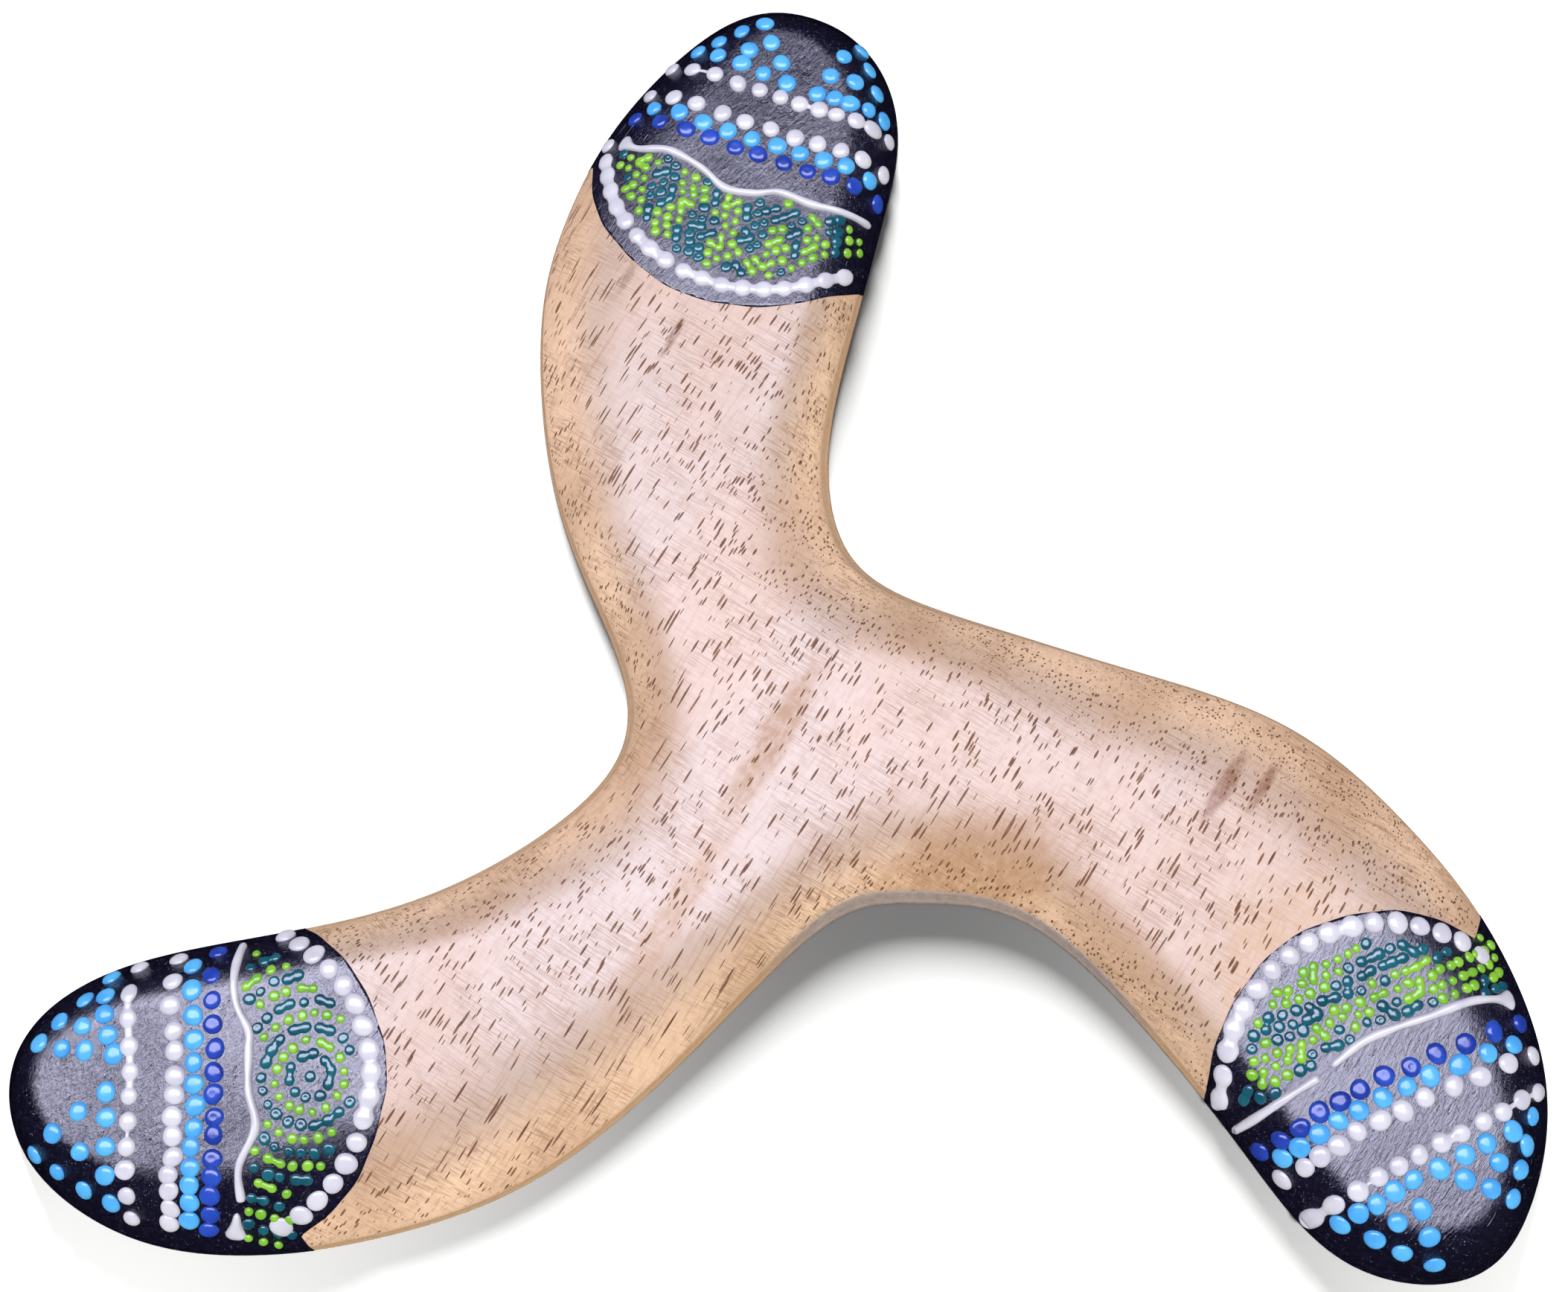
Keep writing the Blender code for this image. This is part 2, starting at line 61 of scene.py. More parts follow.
# Each arm's plan as it lies along +y, before it is turned anticlockwise by its degrees. Edges and
# borders are circles, as centre and radius. A row has a first, middle and last bead, and a fan has an
# apex and two base corners. Streaks have a wavelength, a direction in degrees and a phase.
ARMS = {
    "north": {
        "turn": 0,
        "rim": (
            (-27.5, 5.5), (-32.5, 22), (-42.5, 47), (-46.5, 79), (-43, 101), (-34, 121), (-19, 138.5),
            (-3.5, 145.8), (13.2, 139.4), (21, 122), (18.5, 102), (13, 79.5), (8.5, 56), (11, 37.5),
        ),
        "coat_edge": ((-4.8, 112.2), 32.7),
        "border": ((-3.6, 114.0), 31.0),
        "border_joins": 0.9,
        "border_bead": 1.62,
        "waves": (
            ((-31.5, 115.5), (-27.8, 112.7), (-21.7, 111.5), (-15.7, 107.9), (-11.2, 103.7),
             (-5.8, 102.5), (-0.8, 102.6), (5.1, 100.1), (10, 98.8), (16, 98.2)),
        ),
        "base_row": ((-28.9, 120.5), (-4.8, 110.2), (17.2, 103.4)),
        "row_spacing": 2.8,
        "row_beads": 11,
        "outer_row": ((-22.3, 131.9), (0.7, 121.4), (19.4, 115.9)),
        "outer_joins": 0.25,
        "fans": (
            ((-4.1, 138.2), (-17.5, 134), (0.4, 125.3)),
            ((14, 134.8), (5.8, 122.6), (18.8, 119.4)),
        ),
        "streaks": (9.5, -38, 0.6),
    },
    "right": {
        "turn": -120,
        "rim": (
            (-34.5, 5), (-38, 25), (-43, 48), (-47.5, 76), (-42.5, 101.5), (-33, 122), (-16.5, 140),
            (3.5, 147.5), (20, 144), (28, 125.5), (21, 103.5), (11.5, 79.5), (6, 54), (12, 36.5),
        ),
        "coat_edge": ((1, 119.5), 30.3),
        "border": ((1, 119.5), 28.3),
        "border_joins": 0.4,
        "border_bead": 1.8,
        "waves": (
            ((-23.4, 129.5), (-19.1, 123), (-12.8, 117.6), (-8, 113.4), (-3.6, 110.2), (2.4, 107.7)),
            ((4.9, 106.8), (12.1, 103), (19.3, 99.9)),
        ),
        "base_row": ((-20.5, 131.9), (1.2, 114.7), (19.9, 105)),
        "row_spacing": 2.8,
        "row_beads": 12,
        "outer_row": ((-11.8, 139.5), (5.9, 127.1), (24.8, 116.9)),
        "outer_joins": 0.6,
        "fans": (
            ((5.9, 142.6), (-7.5, 140), (8.1, 129.6)),
            ((21.6, 136.8), (11.8, 127), (23.9, 120.8)),
        ),
        "streaks": (10.5, 20, 2.4),
    },
    "left": {
        "turn": 120,
        "rim": (
            (-32.5, 5), (-35.5, 23.5), (-42, 47.5), (-45.5, 76), (-40.5, 102.5), (-33, 121), (-20, 138.5),
            (1, 149), (18.5, 143), (23, 126), (18, 105), (9.5, 79.5), (6, 55), (9, 32.5),
        ),
        "coat_edge": ((-5.6, 111.6), 28.9),
        "border": ((-5.6, 111.6), 26.2),
        "border_joins": 0.12,
        "border_bead": 1.85,
        "waves": (
            ((-29.6, 121.5), (-27.6, 119.6), (-26.2, 118.4)),
            ((-25.2, 116.8), (-19.9, 114.2), (-15.5, 109), (-9.5, 107.4), (-3.6, 104.6),
             (-0.6, 103.2), (5.5, 102.9), (14.6, 99.2)),
        ),
        "base_row": ((-26.3, 124.5), (-7.1, 112.8), (19.9, 102.4)),
        "row_spacing": 3.4,
        "row_beads": 15,
        "outer_row": ((-17.9, 135), (1.6, 125), (24.3, 115.6)),
        "outer_joins": 0.35,
        "fans": (
            ((-0.5, 145.4), (-14.5, 136.9), (2.4, 128.7)),
            ((15.6, 136.4), (7.5, 125.5), (20.6, 122)),
        ),
        "rings": (-12.5, 97.3),
    },
}

# Tool marks: amplitude and wavelength of each long ripple, its direction in degrees and phase.
CARVING = (
    (0.10, 61, 20, 0.3), (0.08, 43, 100, 1.9), (0.05, 27, 63, 4.0), (0.035, 19, 140, 2.2),
    (0.02, 12.5, 48, 5.1), (0.012, 8.3, 118, 0.9),
)

# At the rim the dome is drawn in by the wall's lean and this much more, fading out over the band.
RIM_ROUND = 0.35
RIM_BAND = 7.0

# Columns of what survey() gives.
INSET = 0
HEIGHT = 1
WAY = slice(2, 4)
WALL_AND_LEAN = slice(4, 6)
LEAN = 5
SURVEY_BLOCK = 2000

# The lacquer: its thickness, how much its edge wavers, the band of board past the edge that is kept
# for the cut, and where the skin stops above the foot of the rim.
SKIN = 0.14
COAT_WOBBLE = 0.12
CUT_BAND = 2
COAT_FOOT = 0.05

# Drops of paint. Rings are shares of the radius, and the last one lies sunk in the board.
DROP_RINGS = np.array([0.3, 0.55, 0.74, 0.87, 0.95, 1.0, 1.0])
SUNK = 0.3
SLOPE_STEP = 0.3
STRAND_STEP = 0.22

# Each paint's slot, linear colour, deeper colour and gloss.
PAINTS = {
    "white": ("white_paint", (0.48, 0.475, 0.48), (0.42, 0.41, 0.43), 0.3),
    "royal": ("royal_blue_paint", (0.017, 0.055, 0.33), (0.01, 0.03, 0.22), 0.5),
    "sky": ("sky_blue_paint", (0.075, 0.34, 0.6), (0.05, 0.27, 0.55), 0.4),
    "lime": ("lime_paint", (0.19, 0.41, 0.03), (0.13, 0.33, 0.02), 0.5),
    "teal": ("teal_paint", (0.007, 0.09, 0.11), (0.004, 0.055, 0.075), 1.0),
}

# Beads, rows and fans. Each packed row has its colour, share of joined beads, dimple and size.
BEAD = 1.76
BEAD_HEIGHT = 0.8
BORDER_PITCH = 3.85
BORDER_DEGREES = (176, 364)
STACKED_ROWS = (
    ("royal", 0.14, 0.24, 0.98),
    ("sky", 0.05, 0.1, 1.0),
    ("white", 0.0, 0.06, 1.0),
)
OUTER_BEADS = 12
OUTER_SIZE = 0.94
FAN_ROWS = (1, 2, 3, 5)
FAN_SIZE = 0.97

# The wavy lines. The first of each tip starts from a blob.
WAVE_STEP = 0.3
WAVE_HALF_WIDTH = 0.74
BLOB_HALF_WIDTH = 2.0
BLOB_LENGTH = 2.0
WAVE_CAPS = (1.2, 0.7)

# The field of small dots. Each colour has its dot radius, share of joined dots, dimple and the number
# of arcs that stand for it in the CAD model.
FIELD_PITCH = 2.15
RING_PITCH = 2.25
RING_COUNT = 13
SMALL_HEIGHT = 0.55
FIELD_COLOURS = (("lime", 0.88, 0.2, 0.08, 2), ("teal", 1.02, 0.42, 0.34, 3))
LONGEST_CHAIN = 3

# Clear space to the rim, and how far beads and dots wander from their places.
BORDER_MARGIN = 1.0
ROW_MARGIN = 0.8
FAN_MARGIN = 1.2
FIELD_MARGIN = 1.5
FIELD_TO_BORDER = 1.05
FIELD_TO_WAVE = 1.6
BORDER_JITTER = 0.12
ROW_JITTER = 0.28
OUTER_JITTER = 0.25
FAN_JITTER = 0.3
FIELD_JITTER = 0.26

# The wood's grain: its direction in the plan and how steeply it rises out of the board, in degrees,
# how far it wanders and how long its pores are.
GRAIN_DEGREES = 58
GRAIN_RISE = 8.5
GRAIN_WANDER = (0, 1.4, 0.7)
PORE_LENGTH = 9.5

# Linear colours of the wood. The crown's colour is painted darker to offset the coat's highlight there.
# The slopes' tan is the wood's own warmer tone, painted lighter to make up for their shade.
CROWN_WOOD_PAINTED_DARKER = (0.385, 0.29, 0.208)
SLOPE_WOOD_PAINTED_LIGHTER = (0.65, 0.44, 0.26)
PATCH_WOOD = (0.4, 0.24, 0.12)
MOTTLED_WOOD = (0.33, 0.19, 0.09)
LINE_WOOD = (0.25, 0.13, 0.055)
FINE_GRAIN = (0.31, 0.175, 0.09)
PORE = (0.105, 0.038, 0.013)
# Colours of the rim's wall: grey in the notch between the lower arms, and worn tan that is painted
# lighter against the upright wall's shade.
NOTCH_RIM_GREY = ((0.28, 0.23, 0.185), (0.38, 0.32, 0.27))
WORN_RIM_PAINTED_LIGHTER = ((0.48, 0.29, 0.14), (0.56, 0.35, 0.18))

# Dark streaks, stain marks and patches: centre, degrees, half length, half width, strength and colour.
# The broad patch next to the right tip's lacquer is painted shade, where the coat's highlight doesn't
# reach. The broad patch by the notch between the lower arms darkens the wood there.
STREAKS_AND_SHADE = (
    ((-0.5, -1), 60, 21, 4.2, 1.0, (0.3, 0.165, 0.07)),
    ((-17, -31), 58, 20, 3.6, 0.75, (0.34, 0.2, 0.095)),
    # Painted shade: the broad golden-tan patch next to the right tip's lacquer, where the coat's
    # highlight doesn't reach.
    ((86, -40), 60, 26, 17, 0.6, (0.44, 0.26, 0.11)),
    ((76.5, -9.5), 56, 9, 2.1, 1.0, (0.19, 0.08, 0.03)),
    ((83.5, -9), 56, 6.5, 1.4, 0.95, (0.19, 0.08, 0.03)),
    ((35, -23), 15, 25, 13, 0.85, (0.31, 0.17, 0.072)),
    ((-20, 74), 60, 5.5, 1.1, 0.85, (0.14, 0.055, 0.02)),
    ((-29, 86), 60, 4.5, 1.2, 0.7, (0.17, 0.07, 0.025)),
)

# Sockets of Blender's mix node that carry colours.
MIX_A = 6
MIX_B = 7
MIX_RESULT = 2

# The stage, in metres.
FLOOR_HALF = 6.0
WORLD_COLOUR = (0.97, 0.97, 1.0, 1)
WORLD_STRENGTH = 0.36
OVERHEAD_MIDDLE = (-0.2, 0.17)
KEY_DIRECTION = (0.1, -1, -0.39)
WASHES = (
    ("wash_left", (-0.2, -0.22, 0.3), (-0.11, -0.1, 0)),
    ("wash_right", (0.24, -0.2, 0.28), (0.15, -0.1, 0)),
)
CAMERA_PLACE = (0.0199, -0.0668, 0.3395)
CAMERA_AXES = ((0.99847, 0.01336, -0.05360), (0, 0.97032, 0.24180), (0.05524, -0.24143, 0.96884))


# Plan geometry.


def turned(points, degrees):
    """The points turned anticlockwise about the hub."""
    angle = math.radians(degrees)
    turn = np.array([[math.cos(angle), math.sin(angle)], [-math.sin(angle), math.cos(angle)]])
    return np.asarray(points, float) @ turn


def spline_controls(points):
    """Control points of the closed cubic B-spline that passes through the points."""
    count = len(points)
    matrix = np.zeros((count, count))
    for i in range(count):
        matrix[i, i] = 4 / 6
        matrix[i, i - 1] = 1 / 6
        matrix[i, (i + 1) % count] = 1 / 6
    return np.linalg.solve(matrix, points)


def spline_samples(controls, steps):
    """Points along the closed cubic B-spline, with this many steps to each control point."""
    t = np.arange(steps)[:, None] / steps
    weights = ((1 - t) ** 3, 3 * t**3 - 6 * t**2 + 4, -3 * t**3 + 3 * t**2 + 3 * t + 1, t**3)
    count = len(controls)
    spans = []
    for i in range(count):
        span = sum(w * controls[(i + k - 1) % count] for k, w in enumerate(weights))
        spans.append(span / 6)
    return np.concatenate(spans)


def smooth_path(points, step):
    """Points about a step apart on the Catmull-Rom curve through the given ones."""
    p = np.asarray(points, float)
    p = np.vstack((2 * p[0] - p[1], p, 2 * p[-1] - p[-2]))
    path = []
    for a, b, c, d in zip(p, p[1:], p[2:], p[3:]):
        spans = max(1, round(float(norm(c - b)) / step))
        bend = a - 2.5 * b + 2 * c - d / 2
        cube = 1.5 * (b - c) + (d - a) / 2
        for t in np.arange(spans) / spans:
            path.append(b + t * (c - a) / 2 + t * t * bend + t**3 * cube)
    path.append(p[-2])
    return np.array(path)


def row_points(row, count):
    """Evenly spaced points on the parabola through a row's first, middle and last point."""
    first, middle, last = (np.array(p, float) for p in row)
    t = np.linspace(0, 1, count)[:, None]
    return first * (1 - t) * (1 - 2 * t) + middle * 4 * t * (1 - t) + last * t * (2 * t - 1)


def circle_points(centre, radius, start, end, count):
    """Points along a circle, from one angle to another in degrees."""
    angles = np.radians(np.linspace(start, end, count))
    return np.column_stack((centre[0] + radius * np.cos(angles), centre[1] + radius * np.sin(angles)))


def run_along(path):
    """Each point's distance from the start, along the path."""
    return np.append(0, np.cumsum(norm(np.diff(path, axis=0), axis=1)))


def normals_of(path, closed=False):
    """Unit normals to the left of a path."""
    if closed:
        along = np.roll(path, -1, 0) - np.roll(path, 1, 0)
    else:
        along = np.gradient(path, axis=0)
    along = along / norm(along, axis=1)[:, None]
    return np.column_stack((-along[:, 1], along[:, 0]))


RIM_POINTS = np.concatenate([turned(arm["rim"], arm["turn"]) for arm in ARMS.values()])
RIM_CONTROLS = spline_controls(RIM_POINTS)
RIM_LINE = spline_samples(
    spline_controls(np.column_stack((RIM_POINTS, np.tile(RIM_SECTIONS, (len(ARMS), 1))))), steps=8
)
RIM_ALONG = np.roll(RIM_LINE[:, :2], -1, 0) - RIM_LINE[:, :2]


def carving(points):
    """How far the tool marks raise or lower the crown."""
    total = np.zeros(len(points))
    for amplitude, wavelength, degrees, phase in CARVING:
        angle = math.radians(degrees)
        run = points[:, 0] * math.cos(angle) + points[:, 1] * math.sin(angle)
        total += amplitude * np.sin(2 * math.pi * run / wavelength + phase)
    return total


def survey_part(points):
    """What survey() gives, for a block of points that fits in memory."""
    start = RIM_LINE[:, :2]
    offset = points[:, None] - start
    t = np.clip((offset * RIM_ALONG).sum(-1) / (RIM_ALONG**2).sum(-1), 0, 1)[..., None]
    inward = offset - t * RIM_ALONG
    distance = norm(inward, axis=-1)
    sections = RIM_LINE[:, 2:] * (1 - t) + np.roll(RIM_LINE[:, 2:], -1, 0) * t
    roll_off, wall, lean = np.moveaxis(sections, -1, 0)
    share = np.clip((distance - lean) / roll_off, 0, 1)
    rows = np.arange(len(points))
    near = distance.argmin(1)
    turn = RIM_ALONG[near, 0] * offset[rows, near, 1] - RIM_ALONG[near, 1] * offset[rows, near, 0]
    low = share.argmin(1)
    rise = 1 - (1 - share[rows, low]) ** ROUNDING
    height = wall[rows, low] + (CROWN - wall[rows, low] + carving(points)) * rise
    away = inward[rows, near] / np.maximum(distance[rows, near], 1e-9)[:, None]
    signed = np.where(turn < 0, 1, -1) * distance[rows, near]
    return np.column_stack((signed, height, away, wall[rows, near], lean[rows, near]))


def survey(points):
    """At each plan point: distance in from the rim, dome height, the way in (x, y), and the wall's
    height and lean at the nearest rim."""
    points = np.asarray(points, float)
    starts = range(0, len(points), SURVEY_BLOCK)
    blocks = [survey_part(points[i : i + SURVEY_BLOCK]) for i in starts]
    return np.concatenate(blocks)


# Objects.


def linked(name, data):
    """A new object in the scene."""
    obj = bpy.data.objects.new(name, data)
    bpy.context.scene.collection.objects.link(obj)
    return obj


def metre_mesh(name, bm):
    """A mesh in metres from a bmesh in millimetres, which it frees."""
    bmesh.ops.scale(bm, vec=(MM, MM, MM), verts=bm.verts)
    mesh = bpy.data.meshes.new(name)
    bm.to_mesh(mesh)
    bm.free()
    return mesh


def shown(name, mesh, material, replaces):
    """A piece from a mesh in metres, shaded smooth, that rides with the board."""
    mesh.shade_smooth()
    mesh.materials.append(material)
    obj = linked(name, mesh)
    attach(obj, "root")
    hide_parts(*replaces)
    return obj


# The board.


def board_cage():
    """Corners and faces of the board's flat cage, as in the CAD model."""
    corners = [tuple(p) for p in RIM_CONTROLS]
    per_arm = len(RIM_SECTIONS)
    rim_count = len(corners)
    hub = rim_count + STATIONS * len(ARMS)

    def left(arm, station):
        return (per_arm * arm + station) % rim_count

    def right(arm, station):
        return (per_arm * (arm + 1) - station) % rim_count

    def middle(arm, station):
        return rim_count + STATIONS * (arm % len(ARMS)) + station

    faces = []
    for arm in range(len(ARMS)):
        ends = [RIM_CONTROLS[left(arm, k)] + RIM_CONTROLS[right(arm, k)] for k in range(STATIONS)]
        middles = [pair / 2 for pair in ends]
        middles[-1] = (middles[-1] + middles[-2]) / 2
        corners += [tuple(point) for point in middles]
        for station in range(STATIONS - 1):
            after = station + 1
            inner, outer = middle(arm, station), middle(arm, after)
            faces.append((left(arm, station), inner, outer, left(arm, after)))
            faces.append((inner, right(arm, station), right(arm, after), outer))
        last = STATIONS - 1
        faces.append((left(arm, last), middle(arm, last), right(arm, last), left(arm, STATIONS)))
        faces.append((hub, middle(arm + 1, 0), right(arm, 0), middle(arm, 0)))
    corners.append((0, 0))
    return corners, faces


def board_plan():
    """The board's outline as a flat, finely divided bmesh, in millimetres."""
    corners, faces = board_cage()
    cage = bpy.data.meshes.new("board_cage")
    cage.from_pydata([(x, y, 0) for x, y in corners], [], faces)
    guide = linked("board_cage", cage)
    subdivision = guide.modifiers.new("Subdivision", "SUBSURF")
    subdivision.levels = BOARD_LEVELS
    subdivision.render_levels = BOARD_LEVELS
    subdivision.boundary_smooth = "ALL"
    evaluated = guide.evaluated_get(bpy.context.evaluated_depsgraph_get())
    bm = bmesh.new()
    bm.from_mesh(evaluated.to_mesh())
    evaluated.to_mesh_clear()
    bpy.data.objects.remove(guide)
    return bm


def rim_loop(bm):
    """The rim's vertices in order, with the board on the left."""
    edge = next(e for e in bm.edges if e.is_boundary)
    loop = edge.link_loops[0]
    ordered = []
    while not ordered or loop.vert != ordered[0]:
        ordered.append(loop.vert)
        loop = loop.link_loop_next
        while not loop.edge.is_boundary:
            loop = loop.link_loop_radial_next.link_loop_next
    return ordered


def rim_section(wall, lean):
    """The rim from the dome's edge down and under: inset, height and how much each point is wall."""
    return (
        (lean + 0.12, wall + 0.02, 0.3),
        (lean * 0.93, wall * 0.95, 1),
        (lean * 0.8, wall * 0.82, 1),
        (lean * 0.5, wall * 0.52, 1),
        (lean * 0.2, wall * 0.2, 1),
        (0.0, 0.3, 1),
        (0.08, 0.08, 1),
        (0.4, 0.0, 1),
    )


def board_bmesh():
    """The carved board as a closed bmesh in millimetres, with a float layer that marks the rim's wall."""
    bm = board_plan()
    wall_layer = bm.verts.layers.float.new("wall")
    rim = rim_loop(bm)
    edge = np.array([v.co.xy for v in rim])
    inward = normals_of(edge, closed=True)
    ways = {vertex: way for vertex, way in zip(rim, inward)}
    places = np.array([v.co.xy for v in bm.verts])
    facts = survey(places)
    for i, vertex in enumerate(bm.verts):
        way = ways.get(vertex, facts[i, WAY])
        deep = max(facts[i, INSET], 0) if vertex not in ways else 0
        shift = (facts[i, LEAN] + RIM_ROUND) * max(0, 1 - deep / RIM_BAND)
        places[i] = places[i] + shift * way
    heights = survey(places)[:, HEIGHT]
    for vertex, place, height in zip(bm.verts, places, heights):
        vertex.co = (place[0], place[1], height)
    sections = [rim_section(wall, lean) for wall, lean in survey(edge)[:, WALL_AND_LEAN]]
    last = rim
    for ring in zip(*sections):
        new = []
        for (x, y), (way_x, way_y), (inset, height, mark) in zip(edge, inward, ring):
            vertex = bm.verts.new((x + inset * way_x, y + inset * way_y, height))
            vertex[wall_layer] = mark
            new.append(vertex)
        for i in range(len(new)):
            bm.faces.new((last[i], last[i - 1], new[i - 1], new[i]))
        last = new
    bm.faces.new(reversed(last))
    bmesh.ops.recalc_face_normals(bm, faces=bm.faces)
    return bm


def make_board(bm):
    """The shown board, from a copy of the carved one."""
    copy = bm.copy()
    bmesh.ops.triangulate(copy, faces=[f for f in copy.faces if len(f.verts) > 4])
    mesh = metre_mesh("carved_board", copy)
    shown("carved_board", mesh, wood_material(), ["wood_body"])


# The lacquered tips.


def beyond_edge(arm, x, y):
    """How far a plan point of an arm's frame is inside the coat, negative on the bare wood."""
    centre, radius = arm["coat_edge"]
    angle = math.atan2(y - centre[1], x - centre[0])
    wobble = COAT_WOBBLE * (math.sin(9 * angle + centre[0]) + 0.6 * math.sin(23 * angle))
    return max(radius + wobble - math.hypot(x - centre[0], y - centre[1]), y - centre[1])


def cut_away(bm, levels):
    """Splits the faces along level 0 and deletes the side below it."""
    for edge in list(bm.edges):
        a, b = edge.verts
        if levels[a] * levels[b] < 0:
            share = levels[a] / (levels[a] - levels[b])
            levels[bmesh.utils.edge_split(edge, a, share)[1]] = 0
    for face in list(bm.faces):
        on = [v for v in face.verts if levels[v] == 0]
        both = min(levels[v] for v in face.verts) < 0 < max(levels[v] for v in face.verts)
        if both and len(on) == 2:
            bmesh.utils.face_split(face, on[0], on[1])
    low = [v for v in bm.verts if levels[v] < 0]
    bmesh.ops.delete(bm, geom=low, context="VERTS")


def make_coat(name, arm, board, material):
    """The skin of lacquer on an arm's tip, cut from a copy of the board."""
    bm = board.copy()
    levels = {}
    for vertex in bm.verts:
        x, y = turned((vertex.co.x, vertex.co.y), -arm["turn"])
        levels[vertex] = beyond_edge(arm, x, y) or 1e-6
    away = [v for v in bm.verts if levels[v] < -CUT_BAND]
    foot = [v for v in bm.verts if levels[v] >= -CUT_BAND and v.co.z < COAT_FOOT]
    bmesh.ops.delete(bm, geom=away + foot, context="VERTS")
    levels = {v: levels[v] for v in bm.verts}
    cut_away(bm, levels)
    mesh = metre_mesh("lacquer_" + name, bm)
    coat = shown("lacquer_" + name, mesh, material, ["base_coat_" + name])
    skin = coat.modifiers.new("Thickness", "SOLIDIFY")
    skin.thickness = SKIN * MM
    skin.offset = 0


# Raised paint. A dab is one round drop. A strand is a line of drops that have run together.


def drop_height(share):
    """A drop's height at a share of its radius, as a share of its full height."""
    return (1 - np.abs(share) ** 2.8) ** 0.62


class Paint:
    """Gathers the dabs and strands of one piece, which all lie in one arm's frame."""

    def __init__(self, arm, seed):
        self.arm = arm
        self.draw = np.random.default_rng(seed)
        self.points = []
        self.faces = []

    def frames(self, places):
        """The dome's points and normals at plan places, in the board's frame."""
        places = turned(places, self.arm["turn"])
        shifts = ((SLOPE_STEP, 0), (-SLOPE_STEP, 0), (0, SLOPE_STEP), (0, -SLOPE_STEP))
        around = [survey(places + shift)[:, HEIGHT] for shift in shifts]
        slope_x = (around[0] - around[1]) / (2 * SLOPE_STEP)
        slope_y = (around[2] - around[3]) / (2 * SLOPE_STEP)
        normal = np.column_stack((-slope_x, -slope_y, np.ones(len(places))))
        normal /= norm(normal, axis=1)[:, None]
        spot = np.column_stack((places, sum(around) / 4))
        return spot, normal

    def add(self, points, faces):
        first = sum(len(p) for p in self.points)
        self.points.append(points)
        self.faces += [tuple(first + i for i in face) for face in faces]

    def dabs(self, places, radius, height, dimple=0.0, segments=20, spread=0.07):
        """Single drops, each a little uneven and sunk in the middle by up to a share of its height."""
        places = np.asarray(places, float)
        if not len(places):
            return
        spots, normals = self.frames(places)
        lift = np.append(height * drop_height(DROP_RINGS[:-1]), -SUNK)
        angle = np.arange(segments) * 2 * math.pi / segments
        for spot, normal in zip(spots, normals):
            size = radius * (1 + spread * self.draw.uniform(-1, 1))
            oval = self.draw.uniform(0, 0.07)
            turn, phase, dent = self.draw.uniform(0, 2 * math.pi, 3)
            rise = self.draw.uniform(0.85, 1.1)
            sink = dimple * self.draw.uniform(0.3, 1.2)
            across = np.cross(normal, (math.cos(turn), math.sin(turn), 0))
            across /= norm(across)
            along = np.cross(across, normal)
            shape = 1 + 0.025 * np.sin(2 * angle + phase) + 0.018 * np.sin(3 * angle + dent)
            points = []
            for share, up in zip(DROP_RINGS, lift):
                out = size * share * shape
                top = up * rise
                if up > 0:
                    top = top - sink * height * np.exp(-((share / 0.5) ** 2))
                side = (out * np.cos(angle) * (1 + oval))[:, None] * across
                front = (out * np.sin(angle) * (1 - oval))[:, None] * along
                points.append(spot + side + front + top * normal)
            crest = spot + normal * height * (rise - sink)
            points = np.vstack((*points, crest))
            last = len(points) - 1
            faces = [(last, i, (i + 1) % segments) for i in range(segments)]
            for ring in range(len(DROP_RINGS) - 1):
                base = ring * segments
                for i in range(segments):
                    j = (i + 1) % segments
                    faces.append((base + i, base + segments + i, base + segments + j, base + j))
            base = (len(DROP_RINGS) - 1) * segments
            faces.append(tuple(base + i for i in reversed(range(segments))))
            self.add(points, faces)

    def strand(self, centres, radii, height, neck, columns=13):
        """Drops along a line, joined by necks of this half width."""
        centres = np.asarray(centres, float)
        ways = np.diff(centres, axis=0)
        head = ways[0] / norm(ways[0])
        tail = ways[-1] / norm(ways[-1])
        guide = np.vstack((centres[0] - head * radii[0], centres, centres[-1] + tail * radii[-1]))
        path = smooth_path(guide, STRAND_STEP)
        run = run_along(path)
        stops = [run[norm(path - c, axis=1).argmin()] for c in centres]
        near_ends = run[-1] * np.array([0.002, 0.006, 0.994, 0.998])
        fine = np.unique(np.concatenate((run, near_ends)))
        path = np.column_stack([np.interp(fine, run, path[:, k]) for k in (0, 1)])
        width = np.zeros(len(fine))
        for stop, radius in zip(stops, radii):
            width += np.clip(radius**2 - (fine - stop) ** 2, 0, None) ** 2
        between = (fine > stops[0]) & (fine < stops[-1])
        width += np.where(between, neck**4, 0)
        width = np.maximum(width, 0.03**4) ** 0.25
        self.sweep(path, width, height * np.clip(width / max(radii), 0, 1) ** 0.8, columns)

    def sweep(self, path, width, height, columns=13):
        """A raised line of varying half width and height along a path."""
        spots, normals = self.frames(path)
        along = np.gradient(spots, axis=0)
        across = np.cross(normals, along)
        across /= norm(across, axis=1)[:, None]
        share = np.sin(np.linspace(-1, 1, columns) * math.pi / 2)
        lift = drop_height(share)
        share = np.concatenate((share, [0.96, -0.96]))
        lift = np.concatenate((lift, [-SUNK, -SUNK]))
        count = len(share)
        points = []
        for spot, side, normal, half, top in zip(spots, across, normals, width, height):
            ups = np.where(lift > 0, lift * top, np.where(lift < 0, lift, 0))
            points.append(spot + (share * half)[:, None] * side + ups[:, None] * normal)
        faces = []
        for row in range(len(path) - 1):
            for i in range(count):
                j = (i + 1) % count
                a, b = row * count, (row + 1) * count
                faces.append((a + i, a + j, b + j, b + i))
        faces.append(tuple(reversed(range(count))))
        faces.append(tuple((len(path) - 1) * count + i for i in range(count)))
        self.add(np.concatenate(points), faces)

